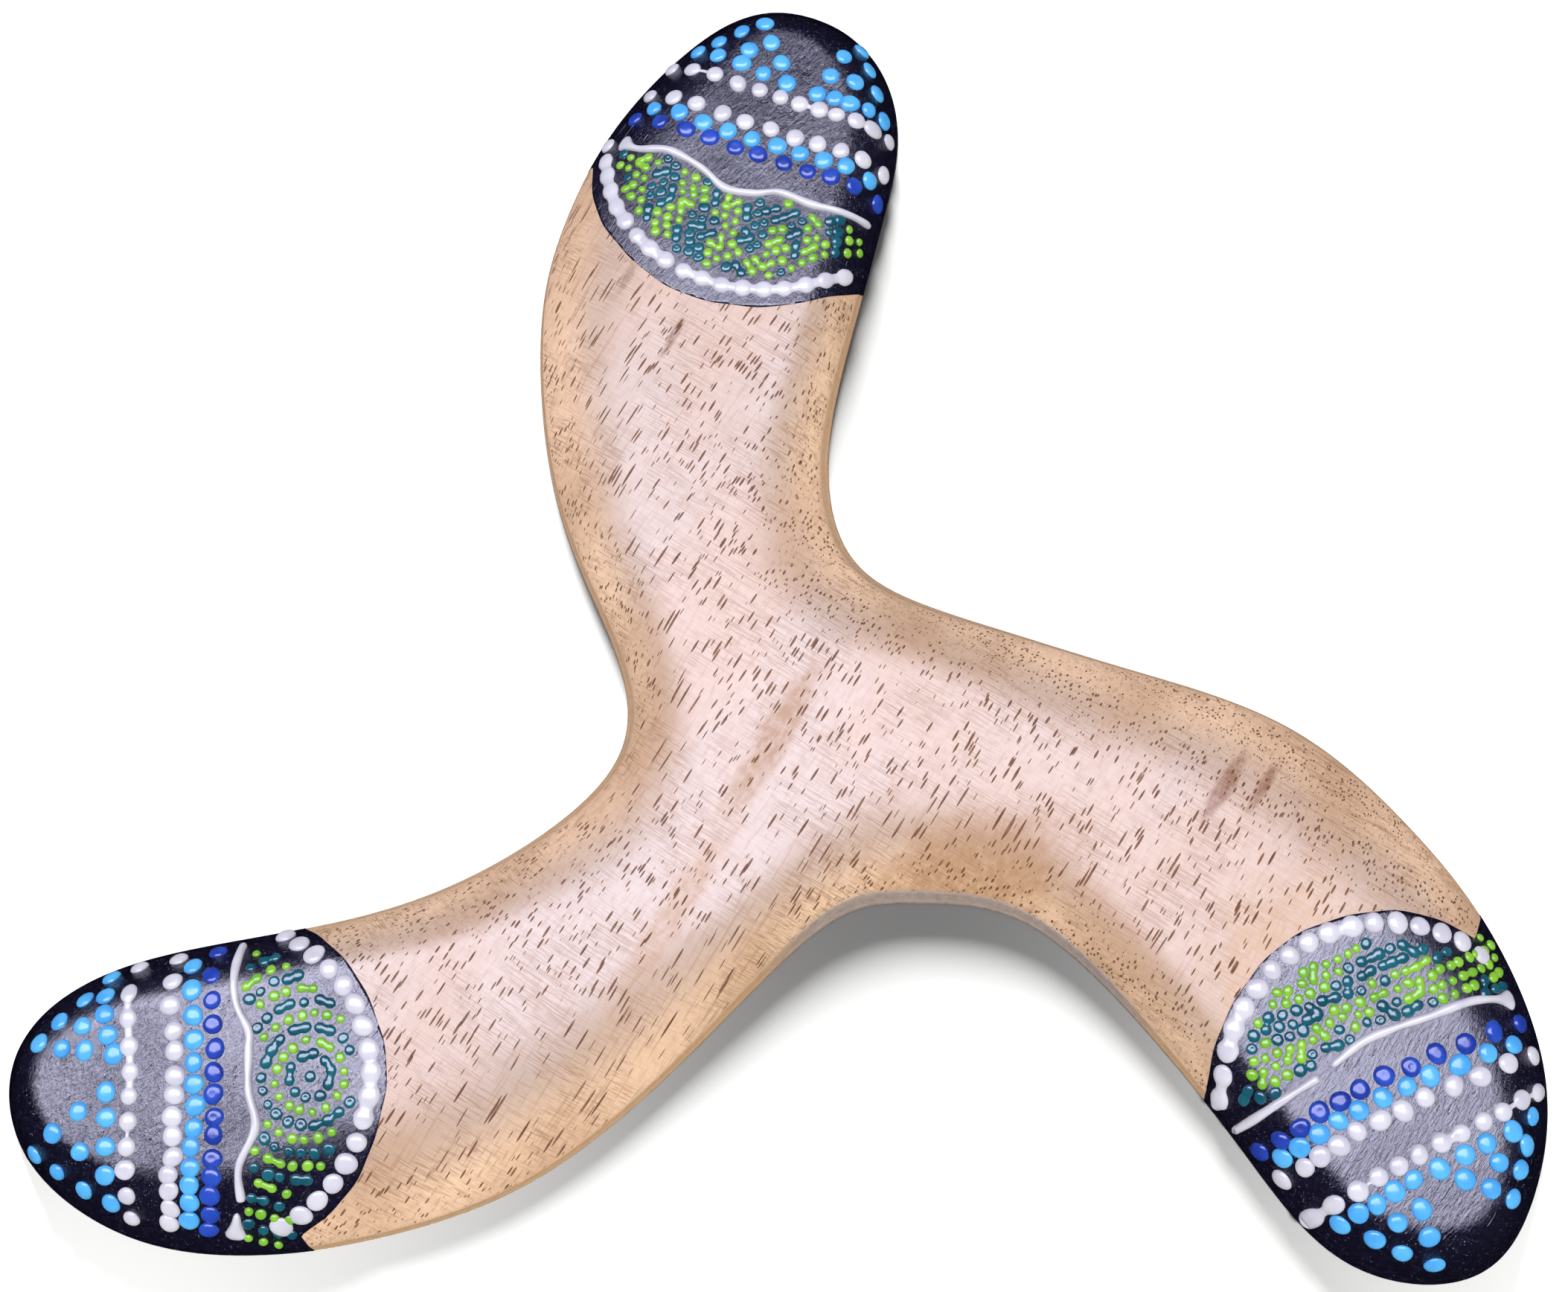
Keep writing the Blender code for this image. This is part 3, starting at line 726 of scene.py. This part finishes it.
    def beads(self, centres, radius, join, neck, dimple=0.0):
        """A row of drops, of which a share has run into the next one, with necks of these shares."""
        centres = np.asarray(centres, float)
        groups = [[centres[0]]]
        for before, centre in zip(centres, centres[1:]):
            gap = norm(centre - before)
            if self.draw.uniform() < join and gap < 3.2 * radius:
                groups[-1].append(centre)
            else:
                groups.append([centre])
        single = [group[0] for group in groups if len(group) == 1]
        self.dabs(single, radius, BEAD_HEIGHT, dimple)
        for group in groups:
            if len(group) > 1:
                radii = radius * self.draw.uniform(0.9, 1.06, len(group))
                self.strand(group, radii, BEAD_HEIGHT, radius * self.draw.uniform(*neck))

    def piece(self, name, colour, replaces):
        """The piece that holds all the paint gathered so far, in one colour."""
        mesh = bpy.data.meshes.new(name)
        mesh.from_pydata([tuple(p) for p in np.vstack(self.points) * MM], [], self.faces)
        mesh.validate()
        bm = bmesh.new()
        bm.from_mesh(mesh)
        bmesh.ops.recalc_face_normals(bm, faces=bm.faces)
        bm.to_mesh(mesh)
        bm.free()
        shown(name, mesh, PAINT_MATERIALS[colour], replaces)


def insets(arm, points):
    """How far inside the rim an arm's points lie."""
    return survey(turned(points, arm["turn"]))[:, INSET]


def clear_of_rim(arm, points, margin):
    """The points that lie at least a margin inside the rim."""
    return points[insets(arm, points) > margin]


def jittered(draw, points, amount):
    """The points, each moved at random by up to the amount."""
    return points + draw.uniform(-amount, amount, points.shape)


def stacked_row(arm, level):
    """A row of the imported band: each lies one spacing farther out and is staggered half a pitch."""
    base = row_points(arm["base_row"], 2 * arm["row_beads"] - 1)
    outward = normals_of(base)
    shifted = base + outward * arm["row_spacing"] * level
    return shifted[1::2] if level % 2 else shifted[::2]


def fan_points(apex, left, right):
    """A fan of dots in rows that widen from the apex to the base."""
    apex, left, right = (np.array(p, float) for p in (apex, left, right))
    points = []
    for row, count in enumerate(FAN_ROWS):
        depth = row / (len(FAN_ROWS) - 1)
        for across in np.linspace(0, 1, count):
            side = left + (right - left) * across
            points.append(apex + (side - apex) * depth)
    return np.array(points)


def wave_height(arm, x):
    """How far out the wavy line runs, at each x of an arm's frame."""
    points = sorted(point for wave in arm["waves"] for point in wave)
    return np.interp(x, [p[0] for p in points], [p[1] for p in points])


def ring_field(arm, draw):
    """Rings of small dots round a centre, each ring of one colour: 1 is teal and 0 is lime."""
    spots = [np.array([arm["rings"]])]
    colours = [1]
    for number in range(1, RING_COUNT + 1):
        radius = RING_PITCH * (number + 0.6)
        count = round(2 * math.pi * radius / (RING_PITCH * 1.03))
        turn = draw.uniform(0, 360)
        ring = circle_points(arm["rings"], radius, turn, turn + 360, count + 1)[:-1]
        spots.append(ring)
        colours += [number % 2] * count
    return np.vstack(spots), np.array(colours)


def streak_field(arm, draw):
    """Rows of small dots in wandering streaks of the two colours, numbered as in ring_field()."""
    wavelength, degrees, phase = arm["streaks"]
    steps = np.arange(-30, 31)
    across, along = np.meshgrid(steps * FIELD_PITCH, steps * FIELD_PITCH * 0.9)
    across = across + (steps[:, None] % 2) * FIELD_PITCH / 2
    bent = along + 1.5 * np.sin(across / 8.5 + phase) + 0.8 * np.sin(across / 3.9)
    spots = turned(np.column_stack((across.ravel(), bent.ravel())), degrees) + arm["border"][0]
    sway = 1.6 * np.sin(along / 6 + phase)
    wave = np.sin(2 * math.pi * across / wavelength + 0.85 * along / FIELD_PITCH + sway)
    wander = np.sin(across / 2.9 + 2 * phase) * np.sin(along / 3.7 - phase)
    colours = (wave + wander + draw.uniform(-0.65, 0.65, wave.shape) < -0.1).astype(int)
    return spots, colours.ravel()


def in_field(arm, points):
    """Which points lie clear between the border and the wavy line."""
    border_centre, border_radius = arm["border"]
    from_border = border_radius - norm(points - border_centre, axis=1)
    clear = from_border > arm["border_bead"] + FIELD_TO_BORDER
    inside = clear | (points[:, 1] > border_centre[1])
    below = wave_height(arm, points[:, 0]) - points[:, 1] > FIELD_TO_WAVE
    return inside & below & (insets(arm, points) > FIELD_MARGIN)


def joined(spots, share, draw):
    """Groups the spots into single dots and short chains of close neighbours."""
    free = list(range(len(spots)))
    draw.shuffle(free)
    left = set(free)
    groups = []
    for start in free:
        if start not in left:
            continue
        left.remove(start)
        group = [start]
        while len(group) < LONGEST_CHAIN and left and draw.uniform() < share:
            others = sorted(left)
            gaps = norm(spots[others] - spots[group[-1]], axis=1)
            if gaps.min() > 1.25 * FIELD_PITCH:
                break
            group.append(others[int(gaps.argmin())])
            left.remove(group[-1])
        groups.append(spots[group])
    return groups


def make_field(name, arm, seed):
    """The two-coloured field of small dots between the border and the wavy line."""
    draw = np.random.default_rng(seed)
    spots, colours = (ring_field if "rings" in arm else streak_field)(arm, draw)
    spots = jittered(draw, spots, FIELD_JITTER)
    keep = in_field(arm, spots)
    spots, colours = spots[keep], colours[keep]
    for colour, (label, radius, share, dimple, arcs) in enumerate(FIELD_COLOURS):
        paint = Paint(arm, seed + 1 + colour)
        groups = joined(spots[colours == colour], share, draw)
        single = [group[0] for group in groups if len(group) == 1]
        paint.dabs(single, radius, SMALL_HEIGHT, dimple, segments=14, spread=0.16)
        for group in groups:
            if len(group) > 1:
                radii = radius * draw.uniform(0.85, 1.05, len(group))
                neck = radius * draw.uniform(0.5, 0.85)
                paint.strand(group, radii, SMALL_HEIGHT, neck, columns=9)
        stands_for = [f"{label}_arc_{number}_{name}" for number in range(1, arcs + 1)]
        paint.piece(f"{label}_dots_{name}", label, stands_for)


def make_waves(name, arm, seed):
    """The white wavy lines of a tip."""
    for number, line in enumerate(arm["waves"], start=1):
        paint = Paint(arm, seed + number)
        path = smooth_path(line, WAVE_STEP)
        run = run_along(path)
        ripple = 1 + 0.1 * np.sin(run / 2.3 + seed) + 0.06 * np.sin(run / 0.9)
        width = WAVE_HALF_WIDTH * ripple
        if number == 1:
            blob = np.exp(-((run / BLOB_LENGTH) ** 2))
            width = width + (BLOB_HALF_WIDTH - WAVE_HALF_WIDTH) * blob
        ends = np.minimum(run, run[-1] - run)
        closeness = 1 - np.clip(ends / WAVE_CAPS[0 if number == 1 else 1], 0, 1)
        cap = np.sqrt(np.clip(1 - closeness**2, 0.0005, 1))
        paint.sweep(path, width * cap, BEAD_HEIGHT * cap)
        paint.piece(f"wavy_line_{number}_{name}", "white", [f"wave_line_{number}_{name}"])


def make_tip_paint(name, arm, seed):
    """All the raised paint of one tip, from its border out to the fans."""
    centre, radius = arm["border"]
    beads = round(math.pi * radius / BORDER_PITCH)
    draw = np.random.default_rng(seed)
    border = circle_points(centre, radius, *BORDER_DEGREES, beads + 2)
    border = jittered(draw, clear_of_rim(arm, border, BORDER_MARGIN), BORDER_JITTER)
    paint = Paint(arm, seed + 1)
    paint.beads(border, arm["border_bead"], arm["border_joins"], neck=(0.5, 0.8))
    paint.piece("border_beads_shaped_" + name, "white", ["border_beads_" + name])
    make_waves(name, arm, seed + 10)
    for level, (colour, join, dimple, size) in enumerate(STACKED_ROWS):
        paint = Paint(arm, seed + 20 + level)
        row = jittered(draw, clear_of_rim(arm, stacked_row(arm, level), ROW_MARGIN), ROW_JITTER)
        paint.beads(row, BEAD * size, join, (0.4, 0.6), dimple)
        paint.piece(f"{colour}_dots_{name}", colour, [f"{colour}_row_{name}"])
    outer = clear_of_rim(arm, row_points(arm["outer_row"], OUTER_BEADS), ROW_MARGIN)
    outer = jittered(draw, outer, OUTER_JITTER)
    paint = Paint(arm, seed + 30)
    paint.beads(outer, BEAD * OUTER_SIZE, arm["outer_joins"], (0.16, 0.5), dimple=0.05)
    paint.piece("outer_dots_" + name, "white", ["outer_row_" + name])
    for side, fan in zip(("lead", "trail"), arm["fans"]):
        paint = Paint(arm, seed + 40)
        spots = jittered(draw, fan_points(*fan), FAN_JITTER)
        paint.dabs(clear_of_rim(arm, spots, FAN_MARGIN), BEAD * FAN_SIZE, BEAD_HEIGHT, dimple=0.1)
        paint.piece(f"fan_dots_{side}_{name}", "sky", [f"sky_fan_{side}_{name}"])
    make_field(name, arm, seed + 50)


# Materials.


class Shader:
    """A node material with short ways to add and join nodes. Positions are in millimetres."""

    def __init__(self, name):
        self.material = bpy.data.materials.new(name)
        self.material.use_nodes = True
        self.tree = self.material.node_tree
        self.shader = self.tree.nodes["Principled BSDF"]
        self.place = self.vector("SCALE", self.node("TexCoord").outputs["Object"], scale=1000)

    def put(self, socket, value):
        """Links an output to a socket, or gives the socket a constant."""
        if isinstance(value, bpy.types.NodeSocket):
            self.tree.links.new(value, socket)
        else:
            socket.default_value = value

    def node(self, kind, **inputs):
        """A new node of a kind, with these of its inputs filled."""
        node = self.tree.nodes.new("ShaderNode" + kind)
        for name, value in inputs.items():
            self.put(node.inputs[name.replace("_", " ")], value)
        return node

    def vector(self, operation, a, b=None, scale=None):
        """The result of a vector operation, which is a number for a length or a distance."""
        node = self.node("VectorMath")
        node.operation = operation
        self.put(node.inputs[0], a)
        if b is not None:
            self.put(node.inputs[1], b)
        if scale is not None:
            self.put(node.inputs["Scale"], scale)
        return node.outputs["Value" if operation in ("LENGTH", "DISTANCE") else "Vector"]

    def math(self, operation, a, b, clamp=False):
        node = self.node("Math")
        node.operation = operation
        node.use_clamp = clamp
        self.put(node.inputs[0], a)
        self.put(node.inputs[1], b)
        return node.outputs["Value"]

    def plus(self, total, value, share, clamp=False):
        """The total with this share of a value added."""
        return self.math("ADD", total, self.math("MULTIPLY", value, share), clamp)

    def turned(self, place, angles, centre=(0, 0, 0)):
        """The place in a frame turned by these angles in degrees about a centre."""
        turn = tuple(math.radians(a) for a in angles)
        moved = self.vector("SUBTRACT", place, centre)
        node = self.node("VectorRotate", Vector=moved)
        node.rotation_type = "EULER_XYZ"
        node.invert = True
        node.inputs["Rotation"].default_value = turn
        return node.outputs["Vector"]

    def noise(self, place, stretch, detail=2.0, roughness=0.5, output="Fac"):
        place = self.vector("MULTIPLY", place, stretch)
        node = self.node("TexNoise", Vector=place, Scale=1.0, Detail=detail, Roughness=roughness)
        return node.outputs[output]

    def wandering(self, place, stretch, detail, reach):
        """The place, shifted by noise over this reach."""
        shift = self.noise(place, stretch, detail, output="Color")
        shift = self.vector("SUBTRACT", shift, (0.5, 0.5, 0.5))
        return self.vector("ADD", place, self.vector("MULTIPLY", shift, reach))

    def ramp(self, value, low, high, start=0.0, end=1.0):
        """The value's place between low and high, smoothed, as a number from start to end."""
        node = self.node("MapRange", Value=value, From_Min=low, From_Max=high, To_Min=start, To_Max=end)
        node.interpolation_type = "SMOOTHSTEP"
        return node.outputs["Result"]

    def mix(self, share, a, b):
        """A colour between a, at share 0, and b, at share 1."""
        node = self.node("Mix")
        node.data_type = "RGBA"
        self.put(node.inputs["Factor"], share)
        self.put(node.inputs[MIX_A], (*a, 1) if isinstance(a, tuple) else a)
        self.put(node.inputs[MIX_B], (*b, 1) if isinstance(b, tuple) else b)
        return node.outputs[MIX_RESULT]

    def bump(self, height, strength, distance):
        node = self.node("Bump", Height=height, Strength=strength, Distance=distance * MM)
        return node.outputs["Normal"]

    def finish(self, **sockets):
        """The material, with these inputs of its Principled shader filled. Tuples are colours."""
        for name, value in sockets.items():
            name = name.replace("_", " ").title().replace("Ior", "IOR")
            self.put(self.shader.inputs[name], (*value, 1) if isinstance(value, tuple) else value)
        return self.material


def grain_frame(shader):
    """The place with x along the grain, which rises a little out of the board and wanders."""
    place = shader.turned(shader.place, (0, 0, GRAIN_DEGREES))
    place = shader.turned(place, (0, -GRAIN_RISE, 0))
    return shader.wandering(place, (0.035, 0.1, 0.1), 1.0, GRAIN_WANDER)


def pores(shader, place, spacing, low, high):
    """1 inside the wood's pores, which are lens-shaped tubes along the grain that the surface cuts
    wherever it crosses them. Low and high are their half widths, as shares of the spacing."""
    place = shader.vector("MULTIPLY", place, (1 / PORE_LENGTH, 1 / spacing, 1 / spacing))
    node = shader.node("TexVoronoi", Vector=place, Scale=1.0, Randomness=0.95)
    split = shader.node("SeparateColor", Color=node.outputs["Color"])
    size = shader.ramp(split.outputs["Red"], 0.15, 1.0, low, high)
    edge = shader.math("SUBTRACT", size, node.outputs["Distance"])
    return shader.ramp(edge, -0.02, 0.035)


def streak(shader, centre, degrees, length, width):
    """1 inside a ragged streak that fades at its ends."""
    place = shader.turned(shader.place, (0, 0, degrees), (*centre, 0))
    place = shader.wandering(place, (0.15, 0.5, 0.2), 3.0, (8, width * 0.7, 0))
    place = shader.vector("MULTIPLY", place, (1 / length, 1 / width, 0))
    return shader.ramp(shader.vector("LENGTH", place), 1.0, 0.35)


def cross_lines(shader, grain):
    """Faint lines across the grain, clearer in some places than in others."""
    lines = shader.noise(grain, (3.6, 0.16, 0.5), roughness=0.65)
    where = shader.noise(shader.place, (0.09, 0.09, 0.09), detail=1.0)
    where = shader.ramp(where, 0.35, 0.65, 0.25, 1.0)
    return shader.math("MULTIPLY", shader.ramp(lines, 0.44, 0.68, 0, 0.72), where)


def grain_colour(shader, grain, mottle, lines):
    """Wood whose colour goes by height, with patches, mottling and fine grain. The crown's colour is
    painted darker to offset the coat's highlight. The lower slopes' warmer tan is the wood's own, painted
    lighter to make up for their shade.
    """
    split = shader.node("SeparateXYZ", Vector=shader.place)
    # Painted light by height: darker on the crown against the coat's highlight, lighter tan down the
    # slopes against their shade.
    low = shader.ramp(split.outputs["Z"], 9.8, 4.8)
    colour = shader.mix(low, CROWN_WOOD_PAINTED_DARKER, SLOPE_WOOD_PAINTED_LIGHTER)
    patches = shader.noise(grain, (0.02, 0.05, 0.05))
    colour = shader.mix(shader.ramp(patches, 0.35, 0.7, 0, 0.65), colour, PATCH_WOOD)
    colour = shader.mix(shader.ramp(mottle, 0.4, 0.75, 0, 0.3), colour, MOTTLED_WOOD)
    colour = shader.mix(lines, colour, LINE_WOOD)
    fine = shader.noise(grain, (0.05, 1.7, 1.7))
    return shader.mix(shader.ramp(fine, 0.54, 0.7, 0, 0.6), colour, FINE_GRAIN)


def with_streaks_and_shade(shader, colour, mottle):
    """The colour with its dark streaks, stain marks and one patch of painted shade, and how strong they
    are.
    """
    stain_and_shade_mask = 0.0
    for centre, degrees, length, width, share, tint in STREAKS_AND_SHADE:
        mask = streak(shader, centre, degrees, length, width)
        mask = shader.math("MULTIPLY", mask, shader.ramp(mottle, 0.25, 0.7, share * 0.5, share))
        colour = shader.mix(mask, colour, tint)
        stain_and_shade_mask = shader.math("MAXIMUM", stain_and_shade_mask, mask)
    return colour, stain_and_shade_mask


def rim_colour(shader, mottle):
    """The wall of the rim: grey in the notch between the lower arms, and worn tan elsewhere that is
    painted lighter to make up for the shade on the upright wall.
    """
    notch = shader.ramp(shader.vector("DISTANCE", shader.place, (33, -37, 0)), 38, 25)
    notch_grey = shader.mix(shader.ramp(mottle, 0.3, 0.8), *NOTCH_RIM_GREY)
    worn_lit = shader.mix(shader.ramp(mottle, 0.3, 0.8), *WORN_RIM_PAINTED_LIGHTER)
    return shader.mix(notch, worn_lit, notch_grey)


def wood_material():
    """Varnished wood that is duller in its pores, in its dark streaks and stain marks, in its patch of
    painted shade and on the rim's wall.
    """
    shader = Shader("varnished_wood")
    grain = grain_frame(shader)
    mottle = shader.noise(grain, (0.5, 0.9, 0.9), detail=4.0, roughness=0.6)
    lines = cross_lines(shader, grain)
    colour = grain_colour(shader, grain, mottle, lines)
    # Dark streaks and stain marks, with one patch of painted shade next to the right tip's lacquer, which
    # also dull the coat.
    colour, stain_and_shade_mask = with_streaks_and_shade(shader, colour, mottle)
    holes = pores(shader, grain, spacing=0.62, low=0.14, high=0.345)
    depth = shader.noise(grain, (0.3, 2, 2))
    dark = shader.math("MULTIPLY", holes, shader.ramp(depth, 0.25, 0.65, 0.7, 1.0))
    colour = shader.mix(dark, colour, PORE)
    wall = shader.node("Attribute")
    wall.attribute_name = "wall"
    wall = wall.outputs["Fac"]
    # The rim's wall takes the rim colours, whose worn tan is painted lighter against the wall's shade.
    colour = shader.mix(shader.math("MULTIPLY", wall, 0.85), colour, rim_colour(shader, mottle))
    height = shader.plus(shader.math("MULTIPLY", holes, -1.0), lines, -0.35)
    height = shader.plus(height, mottle, 0.18)
    open_pores = shader.ramp(holes, 0.0, 0.6)
    rough = shader.plus(shader.ramp(mottle, 0.3, 0.8, 0.42, 0.55), wall, 0.25, clamp=True)
    rough = shader.plus(rough, open_pores, 0.4, clamp=True)
    coat = shader.plus(shader.plus(1.0, open_pores, -0.9), stain_and_shade_mask, -0.7, clamp=True)
    return shader.finish(
        base_color=colour, roughness=rough, normal=shader.bump(height, 0.6, 0.12),
        coat_normal=shader.bump(height, 0.8, 0.1), coat_weight=coat, coat_roughness=0.4, coat_ior=1.65,
    )


def lacquer_material():
    """A smooth clear coat over a dark, uneven base that shows the wood's pores, with pale specks."""
    shader = Shader("blue_black_lacquer")
    grain = grain_frame(shader)
    holes = pores(shader, grain, spacing=0.9, low=0.1, high=0.3)
    ripple = shader.noise(grain, (0.45, 1.5, 1.5), detail=5.0, roughness=0.7)
    pits = shader.noise(shader.place, (2.6, 2.6, 2.6), detail=3.0, roughness=0.7)
    pits = shader.ramp(pits, 0.62, 0.75)
    height = shader.plus(shader.math("MULTIPLY", holes, -0.6), ripple, 1.6)
    height = shader.plus(height, pits, -0.35)
    dust = shader.noise(shader.place, (1.1, 1.1, 1.1), detail=4.0, roughness=0.7)
    dusty = shader.ramp(dust, 0.45, 0.8)
    colour = shader.mix(dusty, (0.005, 0.0045, 0.011), (0.014, 0.0125, 0.026))
    specks = shader.ramp(shader.noise(shader.place, (3.4, 3.4, 3.4)), 0.66, 0.72)
    specks = shader.math("MULTIPLY", specks, shader.ramp(dust, 0.42, 0.62))
    colour = shader.mix(specks, colour, (0.2, 0.2, 0.25))
    rough = shader.ramp(dust, 0.3, 0.75, 0.06, 0.14)
    return shader.finish(
        base_color=colour, roughness=rough, normal=shader.bump(height, 1.0, 0.2), ior=1.35,
        specular_tint=(0.7, 0.7, 1.0), coat_normal=shader.bump(height, 0.9, 0.11), coat_weight=0.9,
        coat_roughness=0.075, coat_ior=2.1, coat_tint=(0.93, 0.93, 1.0),
    )


def paint_material(slot, colour, deep, gloss):
    """Glossy raised paint that is deeper in some drops than in others, named after its slot."""
    shader = Shader(slot)
    drops = shader.noise(shader.place, (0.23, 0.23, 0.23), detail=1.0)
    tone = shader.mix(shader.ramp(drops, 0.35, 0.68), colour, deep)
    grains = shader.noise(shader.place, (1.5, 1.5, 1.5), detail=3.0, roughness=0.65)
    tone = shader.mix(shader.ramp(grains, 0.62, 0.8, 0, 0.4), tone, deep)
    return shader.finish(
        base_color=tone, roughness=shader.ramp(grains, 0.3, 0.75, 0.16, 0.32),
        normal=shader.bump(shader.plus(drops, grains, 0.3), 0.3, 0.12), coat_weight=gloss,
        coat_roughness=0.08,
    )


PAINT_MATERIALS = {colour: paint_material(*paint) for colour, paint in PAINTS.items()}


# The stage.


def floor_material():
    shader = Shader("pale_floor")
    cloud = shader.noise(shader.place, (0.004, 0.004, 0.004), detail=1.0)
    tone = shader.mix(cloud, (0.295, 0.295, 0.29), (0.305, 0.305, 0.3))
    return shader.finish(base_color=tone, roughness=0.9)


def make_stage():
    """The floor, which mirror reflections don't show, and the light of the world around it."""
    mesh = bpy.data.meshes.new("floor")
    half = FLOOR_HALF
    corners = [(-half, -half, 0), (half, -half, 0), (half, half, 0), (-half, half, 0)]
    mesh.from_pydata(corners, [], [(0, 1, 2, 3)])
    mesh.materials.append(floor_material())
    floor = linked("floor", mesh)
    floor.visible_glossy = False
    world = bpy.data.worlds.new("studio")
    world.use_nodes = True
    background = world.node_tree.nodes["Background"]
    background.inputs["Color"].default_value = WORLD_COLOUR
    background.inputs["Strength"].default_value = WORLD_STRENGTH
    bpy.context.scene.world = world
    world.cycles_visibility.glossy = False
    return floor


def placed(light, place, aim):
    """The object of a light at a place in metres, facing the aim."""
    obj = linked(light.name, light)
    obj.location = place
    obj.rotation_euler = (Vector(aim) - Vector(place)).to_track_quat("-Z", "Y").to_euler()
    return obj


def add_softbox(name, place, size, radiance, colour, aim):
    """A rectangular light of this size in metres and this radiance."""
    light = bpy.data.lights.new(name, "AREA")
    light.shape = "RECTANGLE"
    light.size, light.size_y = size
    light.energy = radiance * math.pi * size[0] * size[1]
    light.color = colour
    return placed(light, place, aim)


def add_sun():
    light = bpy.data.lights.new("floor_key", "SUN")
    light.energy = 30
    light.angle = 0.3
    return placed(light, (0, 0, 0), KEY_DIRECTION)


def add_wash(name, place, aim):
    light = bpy.data.lights.new(name, "SPOT")
    light.energy = 15
    light.spot_size = math.radians(38)
    light.spot_blend = 1.0
    light.shadow_soft_size = 0.05
    return placed(light, place, aim)


def limit_light(light, floor, state):
    """Lets a light reach only the floor (INCLUDE) or everything but the floor (EXCLUDE)."""
    receivers = bpy.data.collections.new("lit_by_" + light.name)
    receivers.objects.link(floor)
    receivers.collection_objects[0].light_linking.link_state = state
    light.light_linking.receiver_collection = receivers


def make_lights(floor):
    """A large soft light and a weak fill that only the board receives. A low sun that only the floor
    receives casts the board's shadow, and floor-only spots clear it away beside the tips."""
    above = (*OVERHEAD_MIDDLE, 0.9)
    below = (*OVERHEAD_MIDDLE, 0)
    soft = add_softbox("overhead", above, (1.24, 0.53), 6.9, (0.93, 0.92, 1.17), below)
    fill = add_softbox("fill", (0.35, -0.75, 0.6), (0.9, 0.6), 4.0, (1, 1, 1), (0, 0, 0))
    fill.visible_glossy = False
    key = add_sun()
    washes = [add_wash(*wash) for wash in WASHES]
    for light in (soft, fill):
        limit_light(light, floor, "EXCLUDE")
    for light in (key, *washes):
        limit_light(light, floor, "INCLUDE")


def make_camera():
    camera = bpy.data.cameras.new("camera")
    camera.lens = 44.42
    camera.sensor_width = 36
    camera.sensor_fit = "HORIZONTAL"
    camera.clip_start = 0.01
    camera.clip_end = 50
    obj = linked("camera", camera)
    turn = Matrix(CAMERA_AXES).transposed()
    obj.matrix_world = Matrix.Translation(CAMERA_PLACE) @ turn.to_4x4()
    bpy.context.scene.camera = obj


def main():
    bpy.context.scene.view_settings.view_transform = "Standard"
    board = board_bmesh()
    make_board(board)
    lacquer = lacquer_material()
    for number, (name, arm) in enumerate(ARMS.items()):
        make_coat(name, arm, board, lacquer)
        make_tip_paint(name, arm, seed=100 * (number + 1))
    board.free()
    make_lights(make_stage())
    make_camera()


main()
